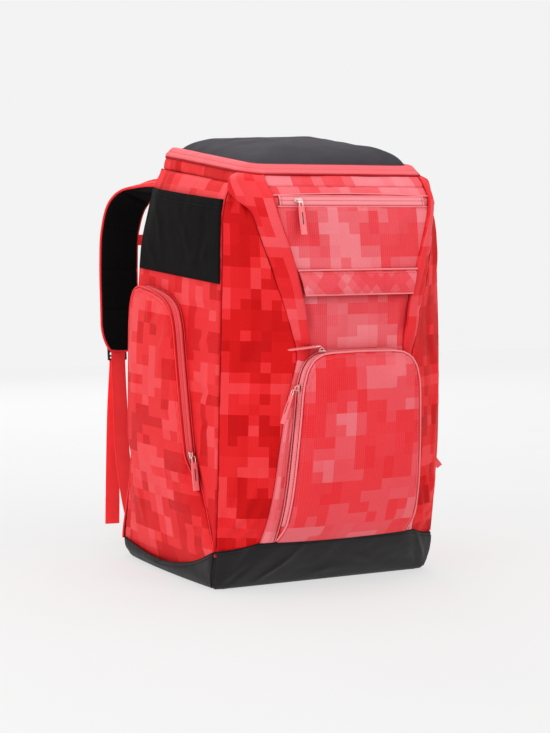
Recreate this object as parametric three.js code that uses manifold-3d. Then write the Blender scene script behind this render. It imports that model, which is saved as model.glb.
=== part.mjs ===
// Ski boot bag: a tall backpack with a sewn textile body, a stiff back panel, a zipped
// lid, a small zipped pocket and a lifting flap on the upper front, a drop-down front
// pocket, two side doors over the boot compartments, stretch pockets above them,
// padded shoulder straps, a sternum strap and a haul handle.
// Millimetres, +Z up, front towards -Y, wearer's back towards +Y, left towards -X.
// Origin: on the floor, under the middle of the base.
import * as THREE from "three";
import { mergeVertices } from "three/addons/utils/BufferGeometryUtils.js";
import Module from "manifold-3d";

const wasm = await Module();
wasm.setup();

// ---------------------------------------------------------------- driving sizes
// A "level" is a nominal height; the true height adds the slope towards the back.
const CLOTH = 2.4; // backed fabric panel
const BACK_THICK = 9; // padded back panel
const BODY_TOP = 585.5; // level where the body panels end
const BAND_LOW = 586.2; // level where the rim band starts
const RIM_LEVEL = 610;
const RIM_SLOPE = 0.115; // climb of the rim towards the back
const SLOPE_ORIGIN_Y = -196; // where level and true height agree

const FLOOR_THICK = 4;
const BOARD_THICK = 3;

// top edge of the black skirt: it dips along the sides and is higher at the front
const SKIRT_LOW = 0.2;
const SKIRT_BACK = 27;
const SKIRT_DIP = 12;
const SKIRT_CORNER = 57; // at the side seam
const SKIRT_FRONT = 72;
const SKIRT_RIDGE = SKIRT_FRONT - 2; // at the outer edge of the ribs

const POCKET_DEPTH = 18; // how far the front pocket stands out
const BOOT_DEPTH = 16; // how far each boot door stands out
const WALL_THICK = 2.2; // raised wall round a pocket or door
const DOOR_THICK = 3.2;
const DOOR_GAP = 0.5; // between a raised wall and its door

const TAPE_WIDTH = 10;
const STANDING_TAPE_THICK = 1.4; // tape on a raised wall
const STANDING_TAPE_GAP = 0.5;
const FLAT_TAPE_THICK = 1.6; // tape lying on the body
const POCKET_TAPE_LIFT = 0.5;
const LID_TAPE_LIFT = 0.4;
const POCKET_TAPE_START = 4; // distance of the zip tape from the body
const BOOT_TAPE_START = 3;
const SLIDER_LIFT = 0.5; // slider base above a flat tape
const PULL_REACH = 8.6; // pull pivot from the slider base

const WEBBING_WIDTH = 25;
const PAD_WIDTH = 66;
const PAD_THICK = 13;

const SIDES = [["left", -1], ["right", 1]];

// ---------------------------------------------------------------- small maths
const mix = (from, to, fraction) => from + (to - from) * fraction;
const arch = (fraction) => Math.sin(Math.PI * fraction);
const add = (a, b, scale = 1) => a.map((value, i) => value + scale * b[i]);
const dot = (a, b) => a.reduce((sum, value, i) => sum + value * b[i], 0);
const cross = (a, b) => [
  a[1] * b[2] - a[2] * b[1],
  a[2] * b[0] - a[0] * b[2],
  a[0] * b[1] - a[1] * b[0],
];
const unit = (vector) => vector.map((value) => value / Math.hypot(...vector));
const direction = (from, to) => unit(add(to, from, -1));
// first coordinate, at a level, of the line through two [coordinate, level] points
const onLine = (from, to, level) =>
  mix(from[0], to[0], (level - from[1]) / (to[1] - from[1]));
// direction of a path at point i, taken between its neighbours
const chord = (path, i) =>
  direction(path[Math.max(0, i - 1)], path[Math.min(path.length - 1, i + 1)]);

// moves a corner of a 2-D path to the right of its travel, keeping the mitre
function mitre(before, point, after, distance) {
  const arriving = direction(before ?? point, before ? point : after);
  const leaving = direction(after ? point : before, after ?? point);
  const reach = distance / (1 + dot(arriving, leaving));
  return [
    point[0] + reach * (arriving[1] + leaving[1]),
    point[1] - reach * (arriving[0] + leaving[0]),
  ];
}
// moves each point of a 2-D path to the right of its travel
const shiftPath = (path, distance) =>
  path.map((point, i) => {
    const along = chord(path, i);
    return [point[0] + along[1] * distance, point[1] - along[0] * distance];
  });

// piecewise cubic through [position, value] keys, flat at turning points,
// straight beyond the ends
function curveThrough(keys) {
  const last = keys.length - 1;
  const slopeAfter = (i) => (keys[i + 1][1] - keys[i][1]) / (keys[i + 1][0] - keys[i][0]);
  const slopes = keys.map((_, i) => {
    if (i === 0) return slopeAfter(0);
    if (i === last) return slopeAfter(last - 1);
    const a = slopeAfter(i - 1);
    const b = slopeAfter(i);
    return a * b <= 0 ? 0 : (2 * a * b) / (a + b);
  });
  const extend = (i, x) => keys[i][1] + slopes[i] * (x - keys[i][0]);
  return (x) => {
    if (x <= keys[0][0]) return extend(0, x);
    if (x >= keys[last][0]) return extend(last, x);
    let i = 0;
    while (x > keys[i + 1][0]) i++;
    const [start, startValue] = keys[i];
    const [end, endValue] = keys[i + 1];
    const span = end - start;
    const s = (x - start) / span;
    const s2 = s * s;
    const s3 = s2 * s;
    return (
      startValue * (2 * s3 - 3 * s2 + 1) +
      slopes[i] * span * (s3 - 2 * s2 + s) +
      endValue * (3 * s2 - 2 * s3) +
      slopes[i + 1] * span * (s3 - s2)
    );
  };
}

// ---------------------------------------------------------------- body surface
// every table below: [level, x or y]
const sideX = curveThrough([
  [0, 178], [20, 183], [70, 184], [136, 185], [209, 186], [352, 184],
  [445, 181], [530, 176], [560, 170], [586, 156], [610, 139],
]);
// seam between the side and the front gusset
const seamY = curveThrough([
  [0, -150], [20, -156], [70, -165], [136, -173], [209, -179], [352, -182],
  [445, -181], [530, -174], [560, -170], [586, -165], [610, -158],
]);
// ridge between the gusset and the rib
const ridgeX = curveThrough([
  [0, 160], [20, 158], [70, 130], [136, 122], [209, 116], [280, 108],
  [345, 96], [395, 105], [461, 125], [538, 144], [586, 149], [610, 138],
]);
const ridgeY = curveThrough([
  [0, -153], [20, -167], [70, -197], [136, -222], [209, -234], [280, -242],
  [345, -248], [395, -244], [461, -236], [538, -215], [586, -190], [610, -180],
]);
// edge of the front panel
const frontX = curveThrough([
  [0, 148], [20, 142], [70, 112], [136, 108], [209, 104], [280, 96], [345, 80],
  [395, 86], [436, 92], [500, 110], [551, 125], [594, 131], [610, 126],
]);
const frontY = curveThrough([
  [0, -153], [20, -170], [70, -207], [136, -232], [209, -243], [280, -249],
  [345, -252], [436, -252], [500, -248], [567, -238], [590, -218], [610, -197],
]);
const backY = curveThrough([
  [0, 164], [28, 172], [70, 163], [136, 145], [209, 135.5], [352, 120],
  [445, 110], [560, 97.5], [610, 92],
]);
// the back edge is wider than the side at the floor and narrower from this level up
const BACK_TAPER_LEVEL = 136;
const BACK_WIDER = 2.5;
const BACK_NARROWER = 3;
const backX = (level) =>
  sideX(level) + mix(BACK_WIDER, -BACK_NARROWER, Math.min(1, level / BACK_TAPER_LEVEL));
const slope = curveThrough([[0, 0], [300, 0], [445, 0.055], [560, 0.08], [610, RIM_SLOPE]]);
const heightAt = (level, y) => level + slope(level) * (y - SLOPE_ORIGIN_Y);

// the eight corners of a level, anticlockwise seen from above, starting back right
function corners(level) {
  const back = [backX(level), backY(level)];
  const seam = [sideX(level), seamY(level)];
  const ridge = [ridgeX(level), ridgeY(level)];
  const front = [frontX(level), frontY(level)];
  const mirror = ([x, y]) => [-x, y];
  return [back, ...[back, seam, ridge, front].map(mirror), front, ridge, seam];
}
// panel k runs from corner k to corner k + 1
const PANEL = {
  back: 0, leftSide: 1, leftGusset: 2, leftRib: 3,
  front: 4, rightRib: 5, rightGusset: 6, rightSide: 7,
};
// outward mitred offset of a closed anticlockwise polygon
const offsetPolygon = (polygon, distance) =>
  polygon.map((point, i) =>
    mitre(polygon.at(i - 1), point, polygon[(i + 1) % polygon.length], distance));
const rimAt = (offset) => offsetPolygon(corners(RIM_LEVEL), offset);

// maps onto the body; out is the distance outwards
function onPanel(panel, across, level, out) {
  const outline = offsetPolygon(corners(level), out);
  const start = outline[panel];
  const end = outline[(panel + 1) % 8];
  const y = mix(start[1], end[1], across);
  return [mix(start[0], end[0], across), y, heightAt(level, y)];
}
const onFront = (x, level, out) => {
  const y = frontY(level) - out;
  return [x, y, heightAt(level, y)];
};
const onSide = (sign) => (y, level, out) =>
  [sign * (sideX(level) + out), y, heightAt(level, y)];

// ---------------------------------------------------------------- solid builders
const quad = (a, b, c, d) => [[a, b, c], [a, c, d]];

// geometry of a closed surface, turned so that its faces point outwards
function closed(points, triangles) {
  const volume = triangles.reduce(
    (sum, [a, b, c]) => sum + dot(points[a], cross(points[b], points[c])), 0);
  const faces = volume < 0 ? triangles.map(([a, b, c]) => [a, c, b]) : triangles;
  const geometry = new THREE.BufferGeometry();
  geometry.setAttribute("position", new THREE.Float32BufferAttribute(points.flat(), 3));
  geometry.setIndex(faces.flat());
  return geometry;
}
// a slab over a grid of cells: point(i, j, outer) gives its points, outer 0 or 1;
// cells that keep(i, j) refuses are left out
function gridSlab(point, columns, rows, keep = () => true) {
  const points = [];
  const indices = new Map();
  const triangles = [];
  const id = (i, j, outer) => {
    const key = `${i},${j},${outer}`;
    if (!indices.has(key)) {
      indices.set(key, points.length);
      points.push(point(i, j, outer));
    }
    return indices.get(key);
  };
  const has = (i, j) => i >= 0 && j >= 0 && i < columns && j < rows && keep(i, j);
  const edge = (i0, j0, i1, j1) =>
    triangles.push(...quad(id(i0, j0, 0), id(i1, j1, 0), id(i1, j1, 1), id(i0, j0, 1)));
  for (let j = 0; j < rows; j++)
    for (let i = 0; i < columns; i++) {
      if (!has(i, j)) continue;
      triangles.push(
        ...quad(id(i, j, 1), id(i + 1, j, 1), id(i + 1, j + 1, 1), id(i, j + 1, 1)),
        ...quad(id(i, j, 0), id(i, j + 1, 0), id(i + 1, j + 1, 0), id(i + 1, j, 0)),
      );
      if (!has(i, j - 1)) edge(i, j, i + 1, j);
      if (!has(i, j + 1)) edge(i + 1, j + 1, i, j + 1);
      if (!has(i - 1, j)) edge(i, j + 1, i, j);
      if (!has(i + 1, j)) edge(i + 1, j, i + 1, j + 1);
    }
  return closed(points, triangles);
}
// a slab over the unit square: point(u, v, outer)
const slab = (point, columns, rows) =>
  gridSlab((i, j, outer) => point(i / columns, j / rows, outer), columns, rows);

// a cloth panel of the body, its outer face on the body surface; across gives the
// fractions of the panel it spans, low the level of its foot at either end
const panelSlab = ({ panel, across, low, thick = CLOTH, steps }) =>
  slab((u, v, outer) => {
    const level = mix(mix(...low, u), BODY_TOP, v);
    return onPanel(panel, mix(...across, u), level, outer ? 0 : -thick);
  }, ...steps);

// a strip standing on a mapped path, between two distances out; its width lies to the
// left of the path's travel
const standingStrip = (map, path, width, from, to) =>
  gridSlab((i, j, outer) => {
    const point = j ? mitre(path[i - 1], path[i], path[i + 1], -width) : path[i];
    return map(...point, outer ? to : from);
  }, path.length - 1, 1);

// a flat strap along a 3-D path; across is its rough width direction, halfWidth a
// function of the fraction along; it thickens from the path towards travel x across
const ribbon = (path, across, halfWidth, thick) =>
  gridSlab((i, j, outer) => {
    const along = chord(path, i);
    const normal = unit(cross(along, across));
    const sideways = (j * 2 - 1) * halfWidth(i / (path.length - 1));
    const edge = add(path[i], cross(normal, along), sideways);
    return add(edge, normal, outer ? thick : 0);
  }, path.length - 1, 1);

// evenly spaced points along a smooth curve; sign -1 mirrors it to the left
function spline(stations, steps, sign = 1) {
  const points = stations.map(([x, y, z]) => new THREE.Vector3(sign * x, y, z));
  const curve = new THREE.CatmullRomCurve3(points, false, "centripetal");
  return curve.getSpacedPoints(steps).map((point) => point.toArray());
}

// three.js geometry to a manifold-3d solid and back, for pieces that are joined or cut
function toSolid(geometry, matrix) {
  geometry.deleteAttribute("normal");
  geometry.deleteAttribute("uv");
  const merged = mergeVertices(geometry.applyMatrix4(matrix), 1e-4);
  return new wasm.Manifold(
    new wasm.Mesh({
      numProp: 3,
      vertProperties: new Float32Array(merged.attributes.position.array),
      triVerts: new Uint32Array(merged.index.array),
    }),
  );
}
function fromSolid(solid) {
  const mesh = solid.getMesh();
  const geometry = new THREE.BufferGeometry();
  geometry.setAttribute("position", new THREE.Float32BufferAttribute(mesh.vertProperties, 3));
  geometry.setIndex([...mesh.triVerts]);
  return geometry;
}
const box = (size, centre) =>
  toSolid(new THREE.BoxGeometry(...size), new THREE.Matrix4().makeTranslation(...centre));
const post = (radius, length, centre) =>
  toSolid(
    new THREE.CylinderGeometry(radius, radius, length, 12),
    new THREE.Matrix4().makeRotationX(Math.PI / 2).setPosition(...centre),
  );

// ---------------------------------------------------------------- materials
const RED_CLOTH = new THREE.MeshStandardMaterial({ color: 0xf0333c, roughness: 0.8 });
const PINK_ZIP = new THREE.MeshStandardMaterial({ color: 0xf4636a, roughness: 0.6 });
const BLACK_CLOTH = new THREE.MeshStandardMaterial({ color: 0x16171a, roughness: 0.75 });
const BACK_MESH = new THREE.MeshStandardMaterial({ color: 0x101012, roughness: 0.95 });
const HARD_PLASTIC = new THREE.MeshStandardMaterial({ color: 0x141416, roughness: 0.4 });
const LINING = new THREE.MeshStandardMaterial({ color: 0x4a4c50, roughness: 0.9 });
const STIFF_SHEET = new THREE.MeshStandardMaterial({ color: 0x2a2c30, roughness: 0.5 });

const bag = new THREE.Group();
function put(name, geometry, material) {
  const mesh = new THREE.Mesh(geometry, material);
  mesh.name = name;
  bag.add(mesh);
  return mesh;
}
// places a piece modelled about its own origin; zAxis is squared up to xAxis
function place(mesh, position, xAxis, zAxis) {
  const x = new THREE.Vector3(...unit(xAxis));
  const roughZ = new THREE.Vector3(...unit(zAxis));
  const y = new THREE.Vector3().crossVectors(roughZ, x).normalize();
  const z = new THREE.Vector3().crossVectors(x, y);
  mesh.quaternion.setFromRotationMatrix(new THREE.Matrix4().makeBasis(x, y, z));
  mesh.position.set(...position);
}

// ---------------------------------------------------------------- base
// a flat plate inside the body outline, clear of the cloth and of the back panel
function basePlate({ level, clearance, backClearance, thick, z }) {
  const outline = offsetPolygon(corners(level), -CLOTH - clearance);
  outline[0][1] = outline[1][1] = backY(0) - BACK_THICK - backClearance;
  const shape = new THREE.Shape(outline.map((point) => new THREE.Vector2(...point)));
  const plate = new THREE.ExtrudeGeometry(shape, { depth: thick, bevelEnabled: false });
  return plate.translate(0, 0, z);
}
function addBasePlates() {
  const floor = { level: 0, clearance: 0.4, backClearance: 0.9, thick: FLOOR_THICK, z: 0 };
  const board = {
    level: FLOOR_THICK,
    clearance: 9,
    backClearance: 9,
    thick: BOARD_THICK,
    z: FLOOR_THICK + 0.4,
  };
  put("base_floor", basePlate(floor), BLACK_CLOTH);
  put("base_board", basePlate(board), STIFF_SHEET);
}

// skirt height along a side, from the back (0) to the side seam (1)
const skirtSide = (along) =>
  SKIRT_BACK -
  SKIRT_DIP * arch(Math.min(1, along * 1.05)) +
  (SKIRT_CORNER - SKIRT_BACK) * Math.pow(along, 5);

// one strip of coated cloth sewn round the sides and the front
function addSkirt() {
  const sideSteps = 6;
  const backGap = 0.003; // fraction of the side left free at the back panel
  const fractions = Array.from({ length: sideSteps + 1 }, (_, i) => i / sideSteps);
  // panel, fraction across it, level of the skirt's top
  const stations = [
    ...fractions.map((f) => [PANEL.leftSide, mix(backGap, 1, f), skirtSide(f)]),
    [PANEL.leftRib, 0, SKIRT_RIDGE],
    [PANEL.front, 0, SKIRT_FRONT],
    [PANEL.rightRib, 0, SKIRT_FRONT],
    [PANEL.rightGusset, 0, SKIRT_RIDGE],
    ...fractions.map((f) => [PANEL.rightSide, (1 - backGap) * f, skirtSide(1 - f)]),
  ];
  const rows = 3;
  const skirt = gridSlab((i, j, outer) => {
    const [panel, across, top] = stations[i];
    return onPanel(panel, across, mix(SKIRT_LOW, top, j / rows), outer ? 0 : -CLOTH);
  }, stations.length - 1, rows);
  put("base_skirt", skirt, BLACK_CLOTH);
}

// ---------------------------------------------------------------- front of the body
function addFrontPanels() {
  const frontLow = SKIRT_FRONT + 0.5;
  const ribLow = SKIRT_FRONT + 0.9;
  const seamLow = SKIRT_CORNER + 0.7;
  const ridgeLow = SKIRT_RIDGE + 0.7;
  const ribSpan = [0.03, 0.97];
  const gussetSpan = [0.012, 0.985];
  // name, panel, span across it, level of the foot at either end, columns
  const panels = [
    ["front_panel", PANEL.front, [0.003, 0.997], [frontLow, frontLow], 2],
    ["front_rib_left", PANEL.leftRib, ribSpan, [ribLow, ribLow], 1],
    ["front_rib_right", PANEL.rightRib, ribSpan, [ribLow, ribLow], 1],
    ["front_gusset_left", PANEL.leftGusset, gussetSpan, [seamLow, ridgeLow], 2],
    ["front_gusset_right", PANEL.rightGusset, gussetSpan, [ridgeLow, seamLow], 2],
  ];
  for (const [name, panel, across, low, columns] of panels)
    put(name, panelSlab({ panel, across, low, steps: [columns, 18] }), RED_CLOTH);
}

// ---------------------------------------------------------------- raised walls, doors
// wall round a pocket or door, and the zip tape on its outside; inward is 1 when the
// inside lies left of the path's travel, -1 when right
function addRaisedWall(wallName, zipName, { map, path, inward, from, to, tapeFrom }) {
  put(wallName, standingStrip(map, path, inward * WALL_THICK, from, to), RED_CLOTH);
  const tapePath = shiftPath(path, inward * STANDING_TAPE_GAP);
  const width = -inward * STANDING_TAPE_THICK;
  const tape = standingStrip(map, tapePath, width, tapeFrom, tapeFrom + TAPE_WIDTH);
  put(zipName, tape, PINK_ZIP);
}
// distance out of a bowed door; footPhase sets how much of the bow is left at its foot
const doorOut = ({ depth, bow, footPhase }, u, v, outer) =>
  depth + DOOR_GAP + (outer ? DOOR_THICK : 0) + bow * arch(u) * arch(mix(footPhase, 1, v));

// ---------------------------------------------------------------- sides
const DOOR_LOW = 178;
const DOOR_TOP = 421;
const DOOR_BACK = 104;
const DOOR_SHOULDER = 399; // level where the front edge turns into the top
const HOLE_MARGIN = 2; // hole in the side panel beyond the door
// boot door outline on the side, [y, level]: back edge, top, slanting front edge
const doorPath = [
  [DOOR_BACK, DOOR_LOW], [DOOR_BACK, 300], [DOOR_BACK - 1, 385],
  [DOOR_BACK - 10, 410], [DOOR_BACK - 30, DOOR_TOP],
  [20, 418], [-22, 411], [-46, DOOR_SHOULDER], [-60, 375],
  [-68, 340], [-86.1, 263], [-106, DOOR_LOW],
];
// points on the door's back edge and top, [y, level], facing the last seven of
// doorPath taken upwards
const doorBackEdge = [
  [DOOR_BACK, DOOR_LOW], [DOOR_BACK, 263], [DOOR_BACK, 340], [DOOR_BACK - 1, 375],
  [DOOR_BACK - 7, 402], [DOOR_BACK - 22, 416], [DOOR_BACK - 34, 420.8],
];
const doorFrontEdge = doorPath.slice(-doorBackEdge.length).reverse();
const doorFrontY = curveThrough(doorFrontEdge.map(([y, level]) => [level, y]));
const sidePanelBack = (level) => backY(level) - 2.2;
const sidePanelFront = (level) => seamY(level) + 1.2;

// lower side panel with the door's hole cut in it, sewn to the skirt
function lowerSidePanel(map) {
  const footLevel = 60; // the foot follows the skirt, with its y taken at this level
  const footAboveSkirt = 4;
  const levels = [
    footLevel, 60, 118, DOOR_LOW - HOLE_MARGIN, 240, 300, 345, 376, 400,
    DOOR_TOP + HOLE_MARGIN,
  ];
  const underDoor = [0, 6, 12, BOOT_DEPTH - 1];
  const holeFront = (level) =>
    doorFrontY(THREE.MathUtils.clamp(level, DOOR_LOW, DOOR_SHOULDER)) - HOLE_MARGIN;
  // y at a level, swell outwards at the lowest levels
  const columns = [
    [sidePanelBack, []],
    [() => DOOR_BACK + HOLE_MARGIN, underDoor],
    [() => 45, underDoor],
    [() => -35, underDoor],
    [holeFront, [0, 3, 4]],
    [sidePanelFront, []],
  ];
  const point = (i, j, outer) => {
    const [yAt, swell] = columns[i];
    const y = yAt(levels[j]);
    const along = (backY(footLevel) - y) / (backY(footLevel) - seamY(footLevel));
    const level = j ? levels[j] : skirtSide(along) + footAboveSkirt;
    return map(y, level, (outer ? 0 : -CLOTH) + (swell[j] ?? 0));
  };
  const besideHole = (i, j) => j < 3 || i === 0 || i === 4;
  return gridSlab(point, columns.length - 1, levels.length - 1, besideHole);
}
// side panel above the door, behind the stretch pocket
const upperSidePanel = (map) =>
  slab((u, v, outer) => {
    const level = mix(DOOR_TOP + 3, BODY_TOP, v);
    const y = mix(sidePanelBack(level), sidePanelFront(level), u);
    return map(y, level, outer ? 0 : -CLOTH);
  }, 4, 6);

// its mouth, at the top, bows out most
const stretchPocket = (map) =>
  slab((u, v, outer) => {
    const level = mix(446, 562, v);
    const y = mix(backY(level) - 4, seamY(level) + 5, u);
    const bow = 7 * arch(u) * Math.pow(v, 0.7);
    return map(y, level, 0.6 + bow + (outer ? 1.6 : 0));
  }, 6, 4);

function addSide(side, sign) {
  const map = onSide(sign);
  put("side_panel_" + side, lowerSidePanel(map), RED_CLOTH);
  put("side_upper_" + side, upperSidePanel(map), RED_CLOTH);
  addRaisedWall("boot_gusset_" + side, "boot_zip_" + side, {
    map,
    path: doorPath,
    inward: 1,
    from: 0.4,
    to: BOOT_DEPTH,
    tapeFrom: BOOT_TAPE_START,
  });
  put("stretch_pocket_" + side, stretchPocket(map), BLACK_CLOTH);
}

function addBootDoor(side, sign) {
  const map = onSide(sign);
  const rows = doorBackEdge.length - 1;
  const bulge = { depth: BOOT_DEPTH, bow: 5, footPhase: 0.12 };
  const door = gridSlab((i, j, outer) => {
    const u = i / 6;
    const back = doorBackEdge[j];
    const front = doorFrontEdge[j];
    const out = doorOut(bulge, u, j / rows, outer);
    return map(mix(back[0], front[0], u), mix(back[1], front[1], u), out);
  }, 6, rows);
  put("boot_door_" + side, door, RED_CLOTH);
}

// ---------------------------------------------------------------- front pocket
const POCKET_LOW = 92;
const POCKET_TOP = 348;
// left half of the pocket's outline on the front, [x, level], upwards
const pocketHalf = [
  [-106, POCKET_LOW], [-105, 110], [-102.9, 150], [-100.3, 200], [-97.6, 250],
  [-95, 300], [-89, 325], [-79, 340], [-62, POCKET_TOP],
];
const pocketPath = [
  ...pocketHalf,
  [0, POCKET_TOP],
  ...pocketHalf.map(([x, level]) => [-x, level]).reverse(),
];
function addFrontPocket() {
  addRaisedWall("front_gusset_wall", "front_zip", {
    map: onFront,
    path: pocketPath,
    inward: -1,
    from: 1.6,
    to: POCKET_DEPTH,
    tapeFrom: POCKET_TAPE_START,
  });
  const rows = pocketHalf.length - 1;
  const topCrown = 2; // rise of the top edge at its middle
  const bulge = { depth: POCKET_DEPTH, bow: 9, footPhase: 0.1 };
  const door = gridSlab((i, j, outer) => {
    const u = i / 6;
    const [x, edgeLevel] = pocketHalf[j];
    const level = edgeLevel + (j === rows ? topCrown * arch(u) : 0);
    return onFront(mix(x, -x, u), level, doorOut(bulge, u, j / rows, outer));
  }, 6, rows);
  put("front_door", door, RED_CLOTH);
}

// ---------------------------------------------------------------- upper front
const UPPER_ZIP_LEVEL = 566;

// a patch across the front panel; margin is kept to the panel's edges, lift(u, v) is
// the distance of its inner face from the body
const frontPatch = ({ from, to, margin, lift, thick, steps }) =>
  slab((u, v, outer) => {
    const level = mix(from, to, v);
    const halfWidth = frontX(level) - margin;
    return onFront(mix(-halfWidth, halfWidth, u), level, lift(u, v) + (outer ? thick : 0));
  }, ...steps);

function addUpperFront() {
  const pocket = {
    from: 444,
    to: UPPER_ZIP_LEVEL - 8,
    margin: 3,
    lift: (u, v) => 0.5 + 3 * arch(u) * (1 - 0.7 * v),
    thick: 1.8,
    steps: [4, 4],
  };
  const zip = {
    from: UPPER_ZIP_LEVEL - 7,
    to: UPPER_ZIP_LEVEL + 7,
    margin: 8,
    lift: () => POCKET_TAPE_LIFT,
    thick: FLAT_TAPE_THICK,
    steps: [2, 2],
  };
  // runs downwards from its top, standing off further towards its free edge
  const flap = {
    from: 468,
    to: 434,
    margin: 3.5,
    lift: (u, v) => 6.2 + 3 * v,
    thick: 2,
    steps: [4, 3],
  };
  put("upper_pocket", frontPatch(pocket), RED_CLOTH);
  put("upper_zip", frontPatch(zip), PINK_ZIP);
  put("front_flap", frontPatch(flap), RED_CLOTH);
}

// ---------------------------------------------------------------- rim
// closed ring of the eight panels
function addRimBand() {
  const rows = 2;
  const points = [];
  const triangles = [];
  for (const offset of [-CLOTH, 0])
    for (let j = 0; j <= rows; j++) {
      const level = mix(BAND_LOW, RIM_LEVEL, j / rows);
      for (const [x, y] of offsetPolygon(corners(level), offset))
        points.push([x, y, heightAt(level, y)]);
    }
  const id = (i, j, outer) => (outer * (rows + 1) + j) * 8 + (i % 8);
  for (let i = 0; i < 8; i++) {
    const next = i + 1;
    for (let j = 0; j < rows; j++)
      triangles.push(
        ...quad(id(i, j, 1), id(next, j, 1), id(next, j + 1, 1), id(i, j + 1, 1)),
        ...quad(id(next, j, 0), id(i, j, 0), id(i, j + 1, 0), id(next, j + 1, 0)),
      );
    triangles.push(
      ...quad(id(next, 0, 1), id(i, 0, 1), id(i, 0, 0), id(next, 0, 0)),
      ...quad(id(i, rows, 1), id(next, rows, 1), id(next, rows, 0), id(i, rows, 0)),
    );
  }
  put("rim_band", closed(points, triangles), RED_CLOTH);
}
// lid-zip tape: a U over the rim, open at the back
function addLidZip() {
  const edges = [rimAt(0), rimAt(-TAPE_WIDTH)];
  const backGap = 4;
  const tape = gridSlab((i, j, outer) => {
    const corner = (i + 1) % 8;
    const x = edges[j][corner][0];
    const y = corner < 2 ? edges[0][corner][1] - backGap : edges[j][corner][1];
    const lift = LID_TAPE_LIFT + (outer ? FLAT_TAPE_THICK : 0);
    return [x, y, heightAt(RIM_LEVEL, y) + lift];
  }, 7, 1);
  put("lid_zip", tape, PINK_ZIP);
}

// ---------------------------------------------------------------- lid
const LID_ZIP_GAP = 0.6; // between the lid's edge and the zip tape
const LID_LIFT = 0.6; // lid's edge above the rim
const LID_THICK = 3.4;
const LID_DOME = 24;
const LID_CENTRE = [0, -55];
const LID_STEPS_PER_SIDE = 3;
const LID_RINGS = [0.35, 0.65, 0.88, 1]; // fractions of the way out from the centre

function addLid() {
  const outline = rimAt(-TAPE_WIDTH - LID_ZIP_GAP);
  outline[0][1] = outline[1][1] = rimAt(0)[0][1] - 1;
  const lidPoint = (radius, i, outer) => {
    const corner = Math.floor(i / LID_STEPS_PER_SIDE);
    const fraction = (i % LID_STEPS_PER_SIDE) / LID_STEPS_PER_SIDE;
    const next = outline[(corner + 1) % 8];
    const [x, y] = outline[corner].map((start, axis) =>
      mix(LID_CENTRE[axis], mix(start, next[axis], fraction), radius));
    const dome = LID_DOME * (1 - Math.pow(radius, 2.2));
    return [x, y, heightAt(RIM_LEVEL, y) + LID_LIFT + dome + (outer ? LID_THICK : 0)];
  };
  const around = 8 * LID_STEPS_PER_SIDE;
  const perFace = 1 + LID_RINGS.length * around;
  const points = [];
  const triangles = [];
  for (let outer = 0; outer < 2; outer++) {
    points.push(lidPoint(0, 0, outer));
    for (const radius of LID_RINGS)
      for (let i = 0; i < around; i++) points.push(lidPoint(radius, i, outer));
  }
  const id = (outer, ring, i) => outer * perFace + 1 + ring * around + (i % around);
  const last = LID_RINGS.length - 1;
  for (let i = 0; i < around; i++) {
    const next = i + 1;
    triangles.push([perFace, id(1, 0, i), id(1, 0, next)], [0, id(0, 0, next), id(0, 0, i)]);
    for (let j = 0; j < last; j++)
      triangles.push(
        ...quad(id(1, j, i), id(1, j + 1, i), id(1, j + 1, next), id(1, j, next)),
        ...quad(id(0, j, i), id(0, j, next), id(0, j + 1, next), id(0, j + 1, i)),
      );
    triangles.push(
      ...quad(id(0, last, i), id(0, last, next), id(1, last, next), id(1, last, i)));
  }
  put("lid_panel", closed(points, triangles), BLACK_CLOTH);
}

// ---------------------------------------------------------------- back
function addBackPanel() {
  const panel = panelSlab({
    panel: PANEL.back,
    across: [0.003, 0.997],
    low: [0.3, 0.3],
    thick: BACK_THICK,
    steps: [4, 14],
  });
  put("back_panel", panel, BACK_MESH);
}
// stiff sheet just inside the back panel
function addFrameSheet() {
  const sheet = slab((u, v, outer) => {
    const level = mix(42.1, 543.7, v);
    const halfWidth = backX(level) - 24;
    const y = backY(level) - BACK_THICK - 0.6 - (outer ? 0 : 1.6);
    return [mix(-halfWidth, halfWidth, u), y, heightAt(level, y)];
  }, 2, 12);
  put("frame_sheet", sheet, STIFF_SHEET);
}
// pad on the back, thinner at its edge
function addBackPad(name, levels, halfWidths) {
  const edgeThick = 4;
  const middleThick = 15;
  const pad = slab((u, v, outer) => {
    const level = mix(...levels, v);
    const halfWidth = mix(...halfWidths, v);
    const atEdge = Math.min(u, 1 - u, v, 1 - v) === 0;
    const thick = atEdge ? edgeThick : middleThick;
    const y = backY(level);
    const z = heightAt(level, y);
    return [mix(-halfWidth, halfWidth, u), y + 1.6 + (outer ? thick : 0), z];
  }, 8, 8);
  put(name, pad, BACK_MESH);
}

// upright partition inside, beside the middle of the bag
function addBootDivider(side, sign) {
  const divider = slab((u, v, outer) => {
    const z = mix(12, 412, v);
    return [sign * (44 + (outer ? 1.6 : 0)), mix(backY(z) - 14, frontY(z) + 14, u), z];
  }, 3, 4);
  put("boot_divider_" + side, divider, LINING);
}

// ---------------------------------------------------------------- zip sliders and pulls
// slider with its travel along X and its base on z = 0: a notched body and a bail
const sliderGeometry = fromSolid(
  box([12, 8, 2.4], [0, 0, 1.2])
    .subtract(box([5, 1.6, 4], [5.2, 0, 1.2]))
    .add(post(1.1, 3, [-2.8, 0, 3.6]))
    .add(post(1.1, 3, [2.8, 0, 3.6]))
    .add(box([7.8, 2.2, 1.6], [0, 0, 5.3])),
);
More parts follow.
